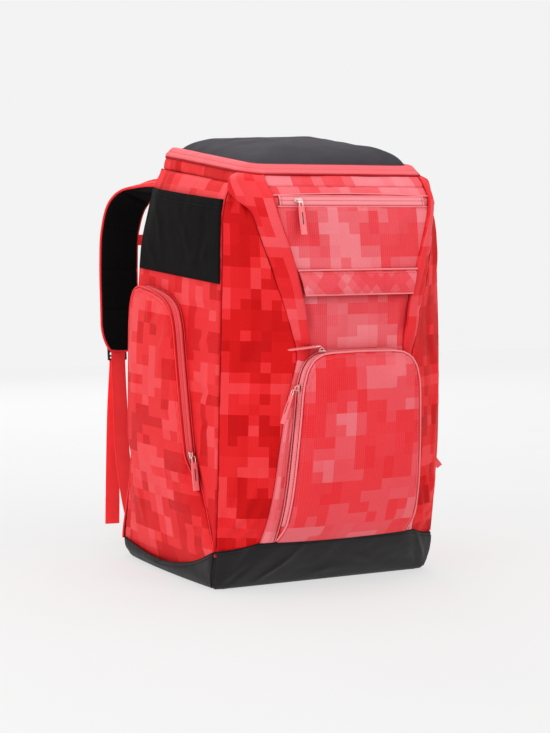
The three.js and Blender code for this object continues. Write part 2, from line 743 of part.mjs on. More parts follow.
// pull: a wire link and a folded tape, hanging along -Z from its pivot along X
const pullGeometry = fromSolid(
  box([7, 1.4, 12], [0, 0, -5])
    .subtract(box([4.2, 3, 7.4], [0, 0, -4.2]))
    .add(box([10, 2.2, 40], [0, 0, -30])),
);
function addZipSlider(name, { at, along, out, pivot, pullAcross, pullUp }) {
  place(put(name + "_slider", sliderGeometry.clone(), PINK_ZIP), at, along, out);
  place(put(name + "_pull", pullGeometry.clone(), PINK_ZIP), pivot, pullAcross, pullUp);
}
// slider's distance beyond a raised wall's path, given its clearance from the tape
const besideTape = (clearance) => STANDING_TAPE_GAP + STANDING_TAPE_THICK + clearance;

// small pocket: the zip runs across, the pull hangs down
function addUpperSlider() {
  const tapePoint = (level) =>
    onFront(-90, level, POCKET_TAPE_LIFT + FLAT_TAPE_THICK + SLIDER_LIFT);
  const at = tapePoint(UPPER_ZIP_LEVEL);
  const up = direction(tapePoint(UPPER_ZIP_LEVEL - 4), tapePoint(UPPER_ZIP_LEVEL + 4));
  const along = [1, 0, 0];
  const out = cross(along, up);
  const pivot = add(add(at, out, PULL_REACH), up, -1);
  addZipSlider("upper", { at, along, out, pivot, pullAcross: along, pullUp: [0, 0.24, 1] });
}
// front pocket: two sliders by the upper left corner
function addFrontSliders() {
  const tapeMiddle = POCKET_TAPE_START + TAPE_WIDTH / 2;
  // on the straight top, its pull reaching out over the rounded corner
  const topStart = pocketHalf.at(-1);
  const top = onFront(topStart[0], topStart[1] + besideTape(0.8), tapeMiddle);
  addZipSlider("front_a", {
    at: top,
    along: [1, 0, 0],
    out: [0, 0, 1],
    pivot: add(top, [-2, 0, 8.4]),
    pullAcross: [0, 1, 0],
    pullUp: [1, 0, 0.08],
  });
  // at the head of the left leg, its pull hanging beside it
  const legHead = pocketHalf[5];
  const legFoot = pocketHalf[1];
  const legPoint = (level) =>
    onFront(onLine(legHead, legFoot, level) - besideTape(1.2), level, tapeMiddle);
  const head = legPoint(legHead[1]);
  addZipSlider("front_b", {
    at: head,
    along: direction(head, legPoint(130)),
    out: [-1, 0, 0],
    pivot: add(head, [-PULL_REACH, 0, -2]),
    pullAcross: [0, 1, 0],
    pullUp: [0.35, 0, 0.937],
  });
}
// boot doors: slider low on the slanting front leg
function addBootSlider(side, sign) {
  const legPoint = (level) => {
    const y = onLine(doorPath[9], doorPath[11], level) - besideTape(0.8);
    return onSide(sign)(y, level, BOOT_TAPE_START + TAPE_WIDTH / 2);
  };
  const at = legPoint(192);
  const along = direction(at, legPoint(325));
  const out = unit([0, -along[2], along[1]]);
  const isLeft = sign < 0;
  addZipSlider("boot_" + side, {
    at,
    along,
    out,
    pivot: add(add(at, out, PULL_REACH), along, -2),
    pullAcross: isLeft ? [1, 0, 0] : [0.7, -0.5, 0.72],
    pullUp: isLeft ? along : [-0.45, 0.45, 0.77],
  });
}
// lid: slider on the right side of the rim
function addLidSlider() {
  const tapeMiddle = rimAt(-TAPE_WIDTH / 2);
  const [back, seam] = [tapeMiddle[0], tapeMiddle[7]];
  const tapePoint = (fraction) => {
    const y = mix(back[1], seam[1], fraction);
    const lift = LID_TAPE_LIFT + FLAT_TAPE_THICK + SLIDER_LIFT;
    return [mix(back[0], seam[0], fraction), y, heightAt(RIM_LEVEL, y) + lift];
  };
  const at = tapePoint(0.3);
  const along = direction(at, tapePoint(0.7));
  addZipSlider("lid", {
    at,
    along,
    out: [0, 0, 1],
    pivot: add(at, [9.5, 0, 4.6]),
    pullAcross: along,
    pullUp: [-0.55, 0, 0.84],
  });
}

// ---------------------------------------------------------------- straps
// right-hand runs, [x, y, z], downwards
const padRun = [
  [60, 107, 572], [64, 128, 594], [74, 178, 604], [88, 240, 601], [102, 286, 586],
  [119, 309, 560], [130, 315, 518], [133, 316, 460], [133, 314, 390], [135, 306, 316],
];
// from under the ladder-lock to the base corner
const lowerWebbingRun = [
  [137, 306, 297], [143, 284, 230], [151, 256, 150], [158, 216, 85], [163, 184, 50],
];
// loose end hanging from the ladder-lock
const tailRun = [[137, 313, 297], [140, 317, 220], [144, 315, 120], [147, 312, 24]];

// half width of the shoulder pad along its length, narrower at both ends
function padHalfWidth(along) {
  const full = PAD_WIDTH / 2;
  if (along < 0.12) return full * (0.72 + 2.3 * along);
  if (along > 0.9) return full * (1 - 4.2 * (along - 0.9));
  return full;
}
// three-slot buckle, upright in XZ
const ladderLock = () =>
  box([32, 5, 24], [0, 0, 0])
    .subtract(box([26, 8, 5], [0, 0, 6.5]))
    .subtract(box([26, 8, 4.4], [0, 0, -1.2]))
    .subtract(box([26, 8, 2.6], [0, 0, -7.6]));

function addShoulderStrap(side, sign) {
  const webbingHalf = () => WEBBING_WIDTH / 2;
  const padPath = spline(padRun, 20, sign);
  const pad = ribbon(padPath, [1, 0.05 * sign, 0], padHalfWidth, PAD_THICK);
  put("shoulder_pad_" + side, pad, RED_CLOTH);
  // on the outer face of the pad's end
  const lock = put("ladder_lock_" + side, fromSolid(ladderLock()), HARD_PLASTIC);
  const lockPosition = add(padPath.at(-1), [sign * 1.5, 5.4, -4]);
  place(lock, lockPosition, [1, 0.1 * sign, 0], [0, 0.12, 1]);
  const lower = ribbon(spline(lowerWebbingRun, 10, sign), [1, 0, 0], webbingHalf, 1.6);
  put("lower_webbing_" + side, lower, RED_CLOTH);
  const tail = ribbon(spline(tailRun, 8, sign), [1, 0.1 * sign, 0], webbingHalf, 1.8);
  put("webbing_tail_" + side, tail, RED_CLOTH);
}
// two halves and a side-release buckle, across the outer faces of the pads
function addSternumStrap() {
  const y = 322;
  const z = 500;
  const part = (size, x, rise = 0) => box(size, [x, y, z + rise]);
  // side, x of its two ends
  for (const [side, start, end] of [["left", -138, -6.5], ["right", 23.5, 138]]) {
    const web = part([end - start, 1.6, 18], (start + end) / 2);
    put("sternum_web_" + side, fromSolid(web), RED_CLOTH);
  }
  const webSlot = [6, 2.6, 19];
  const prong = [20, 3.2, 3.4];
  const female = part([26, 8, 24], 14)
    .subtract(part([24, 4.4, 18.4], 11))
    .subtract(part(webSlot, 26));
  const male = part([10, 8, 24], -5.6)
    .subtract(part(webSlot, -9))
    .add(part(prong, 8, 6.4))
    .add(part(prong, 8, -6.4))
    .add(part([14, 3.2, 2.4], 6));
  put("sternum_buckle_female", fromSolid(female), HARD_PLASTIC);
  put("sternum_buckle_male", fromSolid(male), HARD_PLASTIC);
}
// loop between the shoulder pads
function addHaulHandle() {
  const run = [
    [-24, 109, 574], [-24, 110, 598], [-13, 112, 617],
    [13, 112, 617], [24, 110, 598], [24, 109, 574],
  ];
  put("haul_handle", ribbon(spline(run, 12), [0, 1, 0], () => 9, 3.2), BLACK_CLOTH);
}

// ---------------------------------------------------------------- the whole bag
const onBothSides = (build) => SIDES.forEach(([side, sign]) => build(side, sign));

addBasePlates();
addSkirt();
addFrontPanels();
onBothSides(addSide);
onBothSides(addBootDoor);
addFrontPocket();
addUpperFront();
addRimBand();
addLidZip();
addLid();
addBackPanel();
addFrameSheet();
addBackPad("back_pad_lumbar", [60, 205], [120, 125]);
addBackPad("back_pad_upper", [232, 500], [118, 104]);
onBothSides(addBootDivider);
addUpperSlider();
addFrontSliders();
onBothSides(addBootSlider);
addLidSlider();
onBothSides(addShoulderStrap);
addSternumStrap();
addHaulHandle();

export default bag;
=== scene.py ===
# Backpack with a boot compartment in each side. It stands on z = 0 with its front towards -Y
# and its back panel and shoulder straps towards +Y; "left" is -X and "right" is +X.
# Lengths are in mm unless a comment says otherwise. Meshes are stored in metres.
import math
from functools import partialmethod

import bmesh
import bpy
import numpy as np
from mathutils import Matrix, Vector


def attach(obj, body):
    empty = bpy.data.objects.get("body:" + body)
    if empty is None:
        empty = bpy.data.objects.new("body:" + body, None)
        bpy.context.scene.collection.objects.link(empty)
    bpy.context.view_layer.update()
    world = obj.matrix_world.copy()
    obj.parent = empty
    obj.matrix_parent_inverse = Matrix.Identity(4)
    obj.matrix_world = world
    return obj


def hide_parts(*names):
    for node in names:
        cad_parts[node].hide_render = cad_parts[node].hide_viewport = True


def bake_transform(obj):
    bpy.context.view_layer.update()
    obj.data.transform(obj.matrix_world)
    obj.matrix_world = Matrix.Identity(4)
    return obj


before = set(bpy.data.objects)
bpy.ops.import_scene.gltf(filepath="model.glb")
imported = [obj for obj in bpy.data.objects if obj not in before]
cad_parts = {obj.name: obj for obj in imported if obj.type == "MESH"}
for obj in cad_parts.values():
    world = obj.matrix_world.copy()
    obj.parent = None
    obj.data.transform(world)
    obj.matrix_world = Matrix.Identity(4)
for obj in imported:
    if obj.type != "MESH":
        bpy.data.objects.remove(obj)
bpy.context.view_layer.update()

SIDES = (("left", -1), ("right", 1))
BODY = "bag_body"
CAMO = "camo_fabric"
TAPE = "zip_tape"
X_AXIS, Y_AXIS, Z_AXIS = np.eye(3)


# ------------------------------------------------------------------ body surface
# A "level" is a height up the body, measured along its lean.
class Curve:
    """Monotone cubic through (key, value) pairs, straight beyond both ends."""

    def __init__(self, *pairs):
        self.keys, self.values = np.array(pairs, float).T
        rise = np.diff(self.values) / np.diff(self.keys)
        self.slopes = np.concatenate([rise[:1], np.zeros(len(pairs) - 2), rise[-1:]])
        for i in range(1, len(pairs) - 1):
            before, after = rise[i - 1], rise[i]
            if before * after > 0:
                self.slopes[i] = 2 * before * after / (before + after)

    def __call__(self, x):
        x = np.asarray(x, float)
        keys, values, slopes = self.keys, self.values, self.slopes
        i = np.clip(np.searchsorted(keys, x, side="right") - 1, 0, len(keys) - 2)
        span = keys[i + 1] - keys[i]
        part = np.clip((x - keys[i]) / span, 0, 1)
        square, cube = part * part, part * part * part
        out = (values[i] * (2 * cube - 3 * square + 1)
               + slopes[i] * span * (cube - 2 * square + part)
               + values[i + 1] * (3 * square - 2 * cube)
               + slopes[i + 1] * span * (cube - square))
        out = np.where(x < keys[0], values[0] + slopes[0] * (x - keys[0]), out)
        return np.where(x > keys[-1], values[-1] + slopes[-1] * (x - keys[-1]), out)


# Corner lines of the body as (level, place)
RIM_LEVEL = 610.0
half_side = Curve((0, 178), (20, 183), (70, 184), (136, 185), (209, 186), (352, 184), (445, 181),
                  (530, 176), (560, 170), (586, 156), (610, 139))
seam_y = Curve((0, -150), (20, -156), (70, -165), (136, -173), (209, -179), (352, -182),
               (445, -181), (530, -174), (560, -170), (586, -165), (610, -158))
ridge_x = Curve((0, 160), (20, 158), (70, 130), (136, 122), (209, 116), (280, 108), (345, 96),
                (395, 105), (461, 125), (538, 144), (586, 149), (610, 138))
ridge_y = Curve((0, -153), (20, -167), (70, -197), (136, -222), (209, -234), (280, -242),
                (345, -248), (395, -244), (461, -236), (538, -215), (586, -190), (610, -180))
front_x = Curve((0, 148), (20, 142), (70, 112), (136, 108), (209, 104), (280, 96), (345, 80),
                (395, 86), (436, 92), (500, 110), (551, 125), (594, 131), (610, 126))
front_y = Curve((0, -153), (20, -170), (70, -207), (136, -232), (209, -243), (280, -249),
                (345, -252), (436, -252), (500, -248), (567, -238), (590, -218), (610, -197))
back_y = Curve((0, 164), (28, 172), (70, 163), (136, 145), (209, 135.5), (352, 120), (445, 110),
               (560, 97.5), (610, 92))
# Rise of a level per mm of y
shear = Curve((0, 0), (300, 0), (445, 0.055), (560, 0.08), (610, 0.115))


def smooth01(x):
    x = np.clip(x, 0, 1)
    return x * x * (3 - 2 * x)


def bell(x, width):
    return np.exp(-((x / width) ** 2))


def shoulder_in(level):
    """How far the upper back corners are drawn in."""
    return 8.0 * smooth01((level - 470) / 80) * (1 - smooth01((level - 578) / 26))


def back_x(level):
    level = np.asarray(level, float)
    step_in = np.where(level < 136, 2.5 - 5.5 * level / 136, -3.0)
    return half_side(level) + step_in - shoulder_in(level)


def height(level, y):
    return level + shear(level) * (y + 196.0)


def corners(level):
    """(8, n, 2): each level's corners, anticlockwise from above, from back right."""
    back = np.stack([back_x(level), back_y(level)], -1)
    seam = np.stack([half_side(level), seam_y(level)], -1)
    ridge = np.stack([ridge_x(level), ridge_y(level)], -1)
    front = np.stack([front_x(level), front_y(level)], -1)
    left = [p * np.array([-1.0, 1.0]) for p in (back, seam, ridge, front)]
    return np.stack([back, *left, front, ridge, seam])


# ------------------------------------------------------------------ noise and cloth relief
def lattice_value(i, j, k, seed):
    """Random value from -1 to 1 at integer points."""
    n = (i * 73856093) ^ (j * 19349663) ^ (k * 83492791) ^ (seed * 2654435761)
    n = n & 0x7FFFFFFF
    n = (n ^ (n >> 13)) * 1274126177 & 0x7FFFFFFF
    n = n ^ (n >> 16)
    return (n & 0xFFFF) / 32767.5 - 1.0


def value_noise(points, seed):
    """Smooth noise, -1 to 1, at points (..., 3)."""
    points = np.asarray(points, float)
    cell = np.floor(points).astype(np.int64)
    u = points - cell
    u = u * u * u * (u * (u * 6 - 15) + 10)
    out = 0
    for dx in (0, 1):
        for dy in (0, 1):
            for dz in (0, 1):
                weight = 1.0
                for axis, d in enumerate((dx, dy, dz)):
                    weight = weight * (u[..., axis] if d else 1 - u[..., axis])
                corner = (cell[..., 0] + dx, cell[..., 1] + dy, cell[..., 2] + dz)
                out = out + weight * lattice_value(*corner, seed)
    return out


def ripple(x, y, z, seed):
    return value_noise(np.stack(np.broadcast_arrays(x, y, z), -1), seed)


def soft(points, scale, seed):
    """Three octaves of noise whose largest lumps are scale mm across."""
    points = points / scale
    return sum(0.5**i * value_noise(points * (2.03**i) + 11.3 * i, seed + i) for i in range(3))


def pucker(along, gap, pitch, reach, seed):
    """Small gathers that run away from a seam, gap mm from it."""
    coarse = ripple(along / pitch, gap / 60.0, 0.0, seed)
    fine = ripple(along / (pitch * 0.45), gap / 40.0, 0.0, seed + 1)
    return np.exp(-gap / reach) * (coarse + 0.5 * fine)


def unit(vectors):
    vectors = np.asarray(vectors, float)
    return vectors / np.maximum(np.linalg.norm(vectors, axis=-1, keepdims=True), 1e-9)


def arc_length(path):
    """Distance from the start at each point of a path."""
    steps = np.linalg.norm(np.diff(path, axis=0), axis=1)
    return np.concatenate([[0], np.cumsum(steps)])


def strokes(surface, table, off=0.0, mirror=1):
    """Folds on a surface from rows (height, width, (across, level), ...)."""
    out = []
    for amount, width, *points in table:
        points = np.array(points, float) * (mirror, 1)
        out.append((surface(points[:, 0], points[:, 1], off), amount, width))
    return out


def fold_field(points, folds):
    """Sum of soft folds at points (..., 3): each is (3-D path, height, width)."""
    out = np.zeros(points.shape[:-1])
    for path, amount, width in folds:
        path = np.asarray(path, float)
        best = np.full(out.shape, 1e9)
        part = np.zeros(out.shape)
        along = arc_length(path)
        for i, (start, end) in enumerate(zip(path[:-1], path[1:])):
            edge = end - start
            k = np.clip(((points - start) @ edge) / max(1e-9, edge @ edge), 0, 1)
            gap = np.linalg.norm(points - start - k[..., None] * edge, axis=-1)
            near = gap < best
            best[near] = gap[near]
            part[near] = (along[i] + k[near] * (along[i + 1] - along[i])) / along[-1]
        taper = np.sin(np.pi * np.clip(part * 0.92 + 0.04, 0, 1)) ** 0.7
        out += amount * taper * bell(best, width)
    return 1.4 * out


def body_relief(points, folds, lumps, seed):
    return fold_field(points, folds) + lumps * soft(points, scale=62.0, seed=seed)


# ------------------------------------------------------------------ mesh helpers
def link(obj):
    bpy.context.scene.collection.objects.link(obj)
    return obj


def smooth_faces(obj):
    obj.data.polygons.foreach_set("use_smooth", [True] * len(obj.data.polygons))


def mesh_object(name, verts, faces, mat, uv=None):
    """verts (..., 3) in mm; uv (..., 2) per vertex, in metres of cloth."""
    mesh = bpy.data.meshes.new(name)
    verts = np.asarray(verts, float).reshape(-1, 3) / 1000.0
    mesh.from_pydata(verts.tolist(), [], [tuple(int(i) for i in f) for f in faces])
    mesh.update()
    obj = link(bpy.data.objects.new(name, mesh))
    mesh.materials.append(mat)
    smooth_faces(obj)
    if uv is not None:
        layer = mesh.uv_layers.new(name="cloth")
        index = np.zeros(len(mesh.loops), np.int32)
        mesh.loops.foreach_get("vertex_index", index)
        uv = np.asarray(uv, np.float32).reshape(-1, 2)
        layer.data.foreach_set("uv", uv[index].ravel())
    return obj


def uv_grid(across, along):
    return np.stack(np.broadcast_arrays(across, along), -1) / 1000.0


def coords(obj):
    out = np.zeros(len(obj.data.vertices) * 3)
    obj.data.vertices.foreach_get("co", out)
    return out.reshape(-1, 3) * 1000.0


def set_coords(obj, points):
    obj.data.vertices.foreach_set("co", (points / 1000.0).ravel())
    obj.data.update()


def grid_faces(across, rows, wrap=False, flip=False):
    """Quads of a grid whose point (row, i) has index row * across + i."""
    faces = []
    for row in range(rows - 1):
        for i in range(across if wrap else across - 1):
            a, b = row * across + i, row * across + (i + 1) % across
            c, d = b + across, a + across
            faces.append((a, d, c, b) if flip else (a, b, c, d))
    return faces


def grid_object(name, points, mat, uv=None, wrap=False, flip=False):
    """Sheet through points (rows, across, 3)."""
    rows, across = points.shape[:2]
    return mesh_object(name, points, grid_faces(across, rows, wrap, flip), mat, uv)


def fix_normals(obj):
    mesh = bmesh.new()
    mesh.from_mesh(obj.data)
    bmesh.ops.recalc_face_normals(mesh, faces=mesh.faces)
    mesh.to_mesh(obj.data)
    mesh.free()
    obj.data.update()
    return obj


def loft(name, rings, mat, uv=None, closed=False):
    """Skin over rings (n, m, 3), capped at both ends or closed on itself."""
    rings = np.asarray(rings, float)
    count, size = rings.shape[:2]
    last = (count - 1) * size
    faces = grid_faces(size, count, wrap=True)
    if closed:
        faces += [(last + i, last + (i + 1) % size, (i + 1) % size, i) for i in range(size)]
    else:
        faces += [tuple(range(size))[::-1], tuple(last + i for i in range(size))]
    return fix_normals(mesh_object(name, rings, faces, mat, uv))


def apply_modifiers(obj):
    graph = bpy.context.evaluated_depsgraph_get()
    graph.update()
    mesh = bpy.data.meshes.new_from_object(
        obj.evaluated_get(graph), preserve_all_data_layers=True, depsgraph=graph)
    mesh.name = obj.name
    obj.modifiers.clear()
    old = obj.data
    obj.data = mesh
    if old.users == 0:
        bpy.data.meshes.remove(old)
    return obj


def solidify(obj, thick, inner_slot=None):
    mod = obj.modifiers.new("solidify", "SOLIDIFY")
    mod.thickness = thick / 1000.0
    mod.offset = -1
    mod.use_rim = True
    mod.use_even_offset = True
    mod.use_quality_normals = True
    mod.thickness_clamp = 1.2
    if inner_slot is not None:
        mod.material_offset = inner_slot
    return apply_modifiers(obj)


def lined(obj, thick):
    """Gives a sheet its thickness, with lining on the inner face."""
    obj.data.materials.append(M_LINING)
    return solidify(obj, thick, inner_slot=1)


def subdivide(obj):
    mod = obj.modifiers.new("subdivide", "SUBSURF")
    mod.levels = mod.render_levels = 1
    return apply_modifiers(obj)


def bevel(obj, width, segments, angle):
    mod = obj.modifiers.new("bevel", "BEVEL")
    mod.width = width / 1000.0
    mod.segments = segments
    mod.limit_method = "ANGLE"
    mod.angle_limit = math.radians(angle)
    mod.harden_normals = False
    return apply_modifiers(obj)


def shade(obj, angle):
    smooth_faces(obj)
    obj.data.set_sharp_from_angle(angle=math.radians(angle))


def weld(obj, gap):
    mesh = bmesh.new()
    mesh.from_mesh(obj.data)
    bmesh.ops.remove_doubles(mesh, verts=mesh.verts, dist=gap / 1000)
    bmesh.ops.dissolve_degenerate(mesh, edges=mesh.edges, dist=gap / 1000)
    mesh.to_mesh(obj.data)
    mesh.free()
    return obj


def join(name, parts):
    """One object from parts that each have a single material."""
    mats = []
    merged = bmesh.new()
    for part in parts:
        mesh = part.data
        if mesh.materials[0] not in mats:
            mats.append(mesh.materials[0])
        slots = np.full(len(mesh.polygons), mats.index(mesh.materials[0]), np.int32)
        mesh.polygons.foreach_set("material_index", slots)
        merged.from_mesh(mesh)
    mesh = bpy.data.meshes.new(name)
    merged.to_mesh(mesh)
    merged.free()
    for mat in mats:
        mesh.materials.append(mat)
    out = link(bpy.data.objects.new(name, mesh))
    for part in parts:
        bpy.data.objects.remove(part)
    return out


def finish(obj, slot, body=BODY, *nodes):
    """Hides the nodes a piece replaces and parents it to the body it rides on; slot is not used."""
    if nodes:
        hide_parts(*nodes)
    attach(obj, body)


# ------------------------------------------------------------------ paths and sweeps
def resample(path, count):
    along = arc_length(path)
    spots = np.linspace(0, along[-1], count)
    return np.stack([np.interp(spots, along, column) for column in path.T], -1)


def catmull(points, count):
    """Evenly spaced points on a smooth curve through points."""
    pts = np.asarray(points, float)
    pts = np.vstack([2 * pts[0] - pts[1], pts, 2 * pts[-1] - pts[-2]])
    out = []
    for i in range(1, len(pts) - 2):
        quad = pts[i - 1 : i + 3]
        knot = [0.0]
        for start, end in zip(quad, quad[1:]):
            knot.append(knot[-1] + max(1e-6, np.linalg.norm(end - start)) ** 0.5)

        def blend(first, second, a, b, t):
            span = knot[b] - knot[a]
            return (knot[b] - t) / span * first + (t - knot[a]) / span * second

        for t in np.linspace(knot[1], knot[2], 24, endpoint=False):
            lines = [blend(quad[j], quad[j + 1], j, j + 1, t) for j in range(3)]
            arcs = [blend(lines[j], lines[j + 1], j, j + 2, t) for j in range(2)]
            out.append(blend(arcs[0], arcs[1], 1, 2, t))
    out.append(pts[-2])
    return resample(np.array(out), count)


def frames_along(path, across):
    """Tangent, width and normal at each point of a path."""
    tangent = unit(np.gradient(path, axis=0))
    normal = unit(np.cross(tangent, np.broadcast_to(across, path.shape)))
    return tangent, np.cross(normal, tangent), normal


def sweep(name, path, across, profile, mat):
    """Sweeps a closed profile, (m, 2) or one per point (n, m, 2), of (width, normal)."""
    _, width, normal = frames_along(path, across)
    profile = np.asarray(profile, float)
    profile = np.broadcast_to(profile, (len(path),) + profile.shape[-2:])
    rings = path[:, None] + profile[..., :1] * width[:, None] + profile[..., 1:] * normal[:, None]
    uv = uv_grid(arc_length(profile[len(path) // 2]), arc_length(path)[:, None])
    return loft(name, rings, mat, uv)


def rounded_rect(width, tall, radius, segments=3):
    """Closed profile of full width and height."""
    radius = min(radius, width / 2 - 1e-3, tall / 2 - 1e-3)
    points = []
    for sx, sy, start in ((1, -1, -90), (1, 1, 0), (-1, 1, 90), (-1, -1, 180)):
        for i in range(segments + 1):
            angle = math.radians(start + 90 * i / segments)
            points.append((sx * (width / 2 - radius) + radius * math.cos(angle),
                           sy * (tall / 2 - radius) + radius * math.sin(angle)))
    return np.array(points)


def tube(name, path, radius, mat, sides=8, closed=False):
    path = np.asarray(path, float)
    if closed:
        tangent = unit(np.roll(path, -1, 0) - np.roll(path, 1, 0))
    else:
        tangent = unit(np.gradient(path, axis=0))
    normal = unit(np.cross(tangent, np.array([0.13, 0.21, 0.97])))
    binormal = np.cross(tangent, normal)
    angle = np.linspace(0, 2 * math.pi, sides, endpoint=False)
    circle = (np.cos(angle)[None, :, None] * normal[:, None]
              + np.sin(angle)[None, :, None] * binormal[:, None])
    uv = uv_grid(angle / (2 * math.pi) * 6.0, arc_length(path)[:, None])
    return loft(name, path[:, None] + radius * circle, mat, uv, closed)


def stitch_row(name, path, normal, mat, pitch=3.4, length=2.3, radius=0.32, lift=0.15):
    """Thread stitches along a 3-D path on a surface with the given outward normals."""
    normals = np.broadcast_to(np.asarray(normal, float), path.shape)
    along = arc_length(path)
    total = along[-1]
    count = max(1, int(total / pitch))

    def at(spots, table):
        spots = np.clip(spots, 0, total)
        return np.column_stack([np.interp(spots, along, column) for column in table.T])

    part = np.array([-1, -0.6, 0, 0.6, 1])
    middle = (np.arange(count) + 0.5) * total / count
    spots = (middle[:, None] + part * length / 2).ravel()
    out = unit(at(spots, normals))
    side = np.cross(out, unit(at(spots + 0.1, path) - at(spots - 0.1, path)))
    # the ends are thinner and dive under the surface
    end = np.tile(np.abs(part) > 0.9, count)[:, None]
    centre = at(spots, path) + out * (lift + np.where(end, -0.35, 0.35))
    size = radius * np.where(end, 0.6, 1.0)
    verts = np.stack([centre + side * size, centre + out * size,
                      centre - side * size, centre - out * size], 1)
    one = grid_faces(4, 5, wrap=True) + [(0, 3, 2, 1), (16, 17, 18, 19)]
    faces = [[20 * i + k for k in face] for i in range(count) for face in one]
    return fix_normals(mesh_object(name, verts, faces, mat))


# ------------------------------------------------------------------ surfaces of the bag
# Each maps (across, level, offset outwards) to 3-D points.
def side_map(sign):
    def surface(y, level, off=0.0):
        drawn_in = shoulder_in(level) * smooth01((y - back_y(level) + 60) / 60)
        x = sign * (half_side(level) + off - drawn_in)
        return np.stack(np.broadcast_arrays(x, y, height(level, y)), -1)

    return surface


def front_map(x, level, off=0.0):
    y = front_y(level) - off
    return np.stack(np.broadcast_arrays(x, y, height(level, y)), -1)


def back_map(x, level, off=0.0):
    y = back_y(level)
    return np.stack(np.broadcast_arrays(x, y + off, height(level, y)), -1)


def strip_map(sign, first, second):
    """Ruled strip between two corner lines (x curve, y curve); across = mm from the first."""

    def surface(across, level, off=0.0):
        start = np.stack([sign * first[0](level), first[1](level)], -1)
        edge = np.stack([sign * second[0](level), second[1](level)], -1) - start
        length = np.linalg.norm(edge, axis=-1)
        normal = np.stack([-edge[..., 1], edge[..., 0]], -1) / length[..., None] * sign
        point = start + edge * (across / length)[..., None]
        point = point + normal * np.asarray(off)[..., None]
        x, y = point[..., 0], point[..., 1]
        return np.stack([x, y, height(level, y)], -1)

    surface.width = lambda level: np.hypot(second[0](level) - first[0](level),
                                           second[1](level) - first[1](level))
    return surface


SEAM_LINE, RIDGE_LINE = (half_side, seam_y), (ridge_x, ridge_y)
gusset_map = {s: strip_map(s, SEAM_LINE, RIDGE_LINE) for s in (1, -1)}
rib_map = {s: strip_map(s, RIDGE_LINE, (front_x, front_y)) for s in (1, -1)}


def on(surface, points, off):
    return surface(points[:, 0], points[:, 1], off)


def across_front(level, off, inset, count, width_at=None):
    """Level path over the front, inset mm from the front panel's side edges."""
    half = front_x(level if width_at is None else width_at) - inset
    return front_map(half * np.linspace(-1, 1, count), level, off)


def smooth_loop(points, times=1):
    for _ in range(times):
        points = 0.25 * np.roll(points, 1, 0) + 0.5 * points + 0.25 * np.roll(points, -1, 0)
    return points


def offset_polygon(polygon, off):
    """Mitred outward offset of anticlockwise polygons (k, n, 2)."""
    after = unit(np.roll(polygon, -1, 0) - polygon)
    before = unit(polygon - np.roll(polygon, 1, 0))
    bisector = sum(np.stack([e[..., 1], -e[..., 0]], -1) for e in (before, after))
    square = (bisector * bisector).sum(-1, keepdims=True)
    return polygon + bisector * (2 * off / np.maximum(square, 0.4))


def rim_loop(off, count, level=RIM_LEVEL, rounding=2.75):
    """Rounded level curve, (count, 3), anticlockwise from the back right corner."""
    polygon = offset_polygon(corners(np.array([level])), off)[:, 0]
    points = []
    for a, b in zip(polygon, np.roll(polygon, -1, 0)):
        k = max(2, int(np.linalg.norm(b - a) / 2.0))
        points.append(a + (b - a) * np.linspace(0, 1, k, endpoint=False)[:, None])
    points = smooth_loop(np.vstack(points), int(round(rounding * 4)))
    points = resample(np.vstack([points, points[:1]]), count + 1)[:-1]
    return np.column_stack([points, height(level, points[:, 1])])


# ------------------------------------------------------------------ flat outlines and patches
PATCH_STEP = 4.0


def poly_distance(points, polygon, closed=True):
    """Distance, nearest point, and edge index + fraction along it, for points (n, 2)."""
    starts = np.asarray(polygon, float)
    ends = np.roll(starts, -1, 0)
    if not closed:
        starts, ends = starts[:-1], ends[:-1]
    best = np.full(len(points), 1e9)
    near = np.zeros((len(points), 2))
    part = np.zeros(len(points))
    for i, (start, end) in enumerate(zip(starts, ends)):
        edge = end - start
        k = np.clip(((points - start) @ edge) / max(1e-9, edge @ edge), 0, 1)
        foot = start + k[:, None] * edge
        gap = np.hypot(*(points - foot).T)
        closer = gap < best
        best[closer], near[closer], part[closer] = gap[closer], foot[closer], i + k[closer]
    return best, near, part


def edge_gap(x, level, path):
    """Distance from (x, level) to an open path."""
    return poly_distance(np.column_stack([x, level]), path, closed=False)[0]


def inside(points, polygon):
    x, y = points.T
    out = np.zeros(len(points), bool)
    for (x0, y0), (x1, y1) in zip(polygon, np.roll(polygon, -1, 0)):
        if y0 != y1:
            out ^= ((y0 > y) != (y1 > y)) & (x < (x1 - x0) * (y - y0) / (y1 - y0) + x0)
    return out


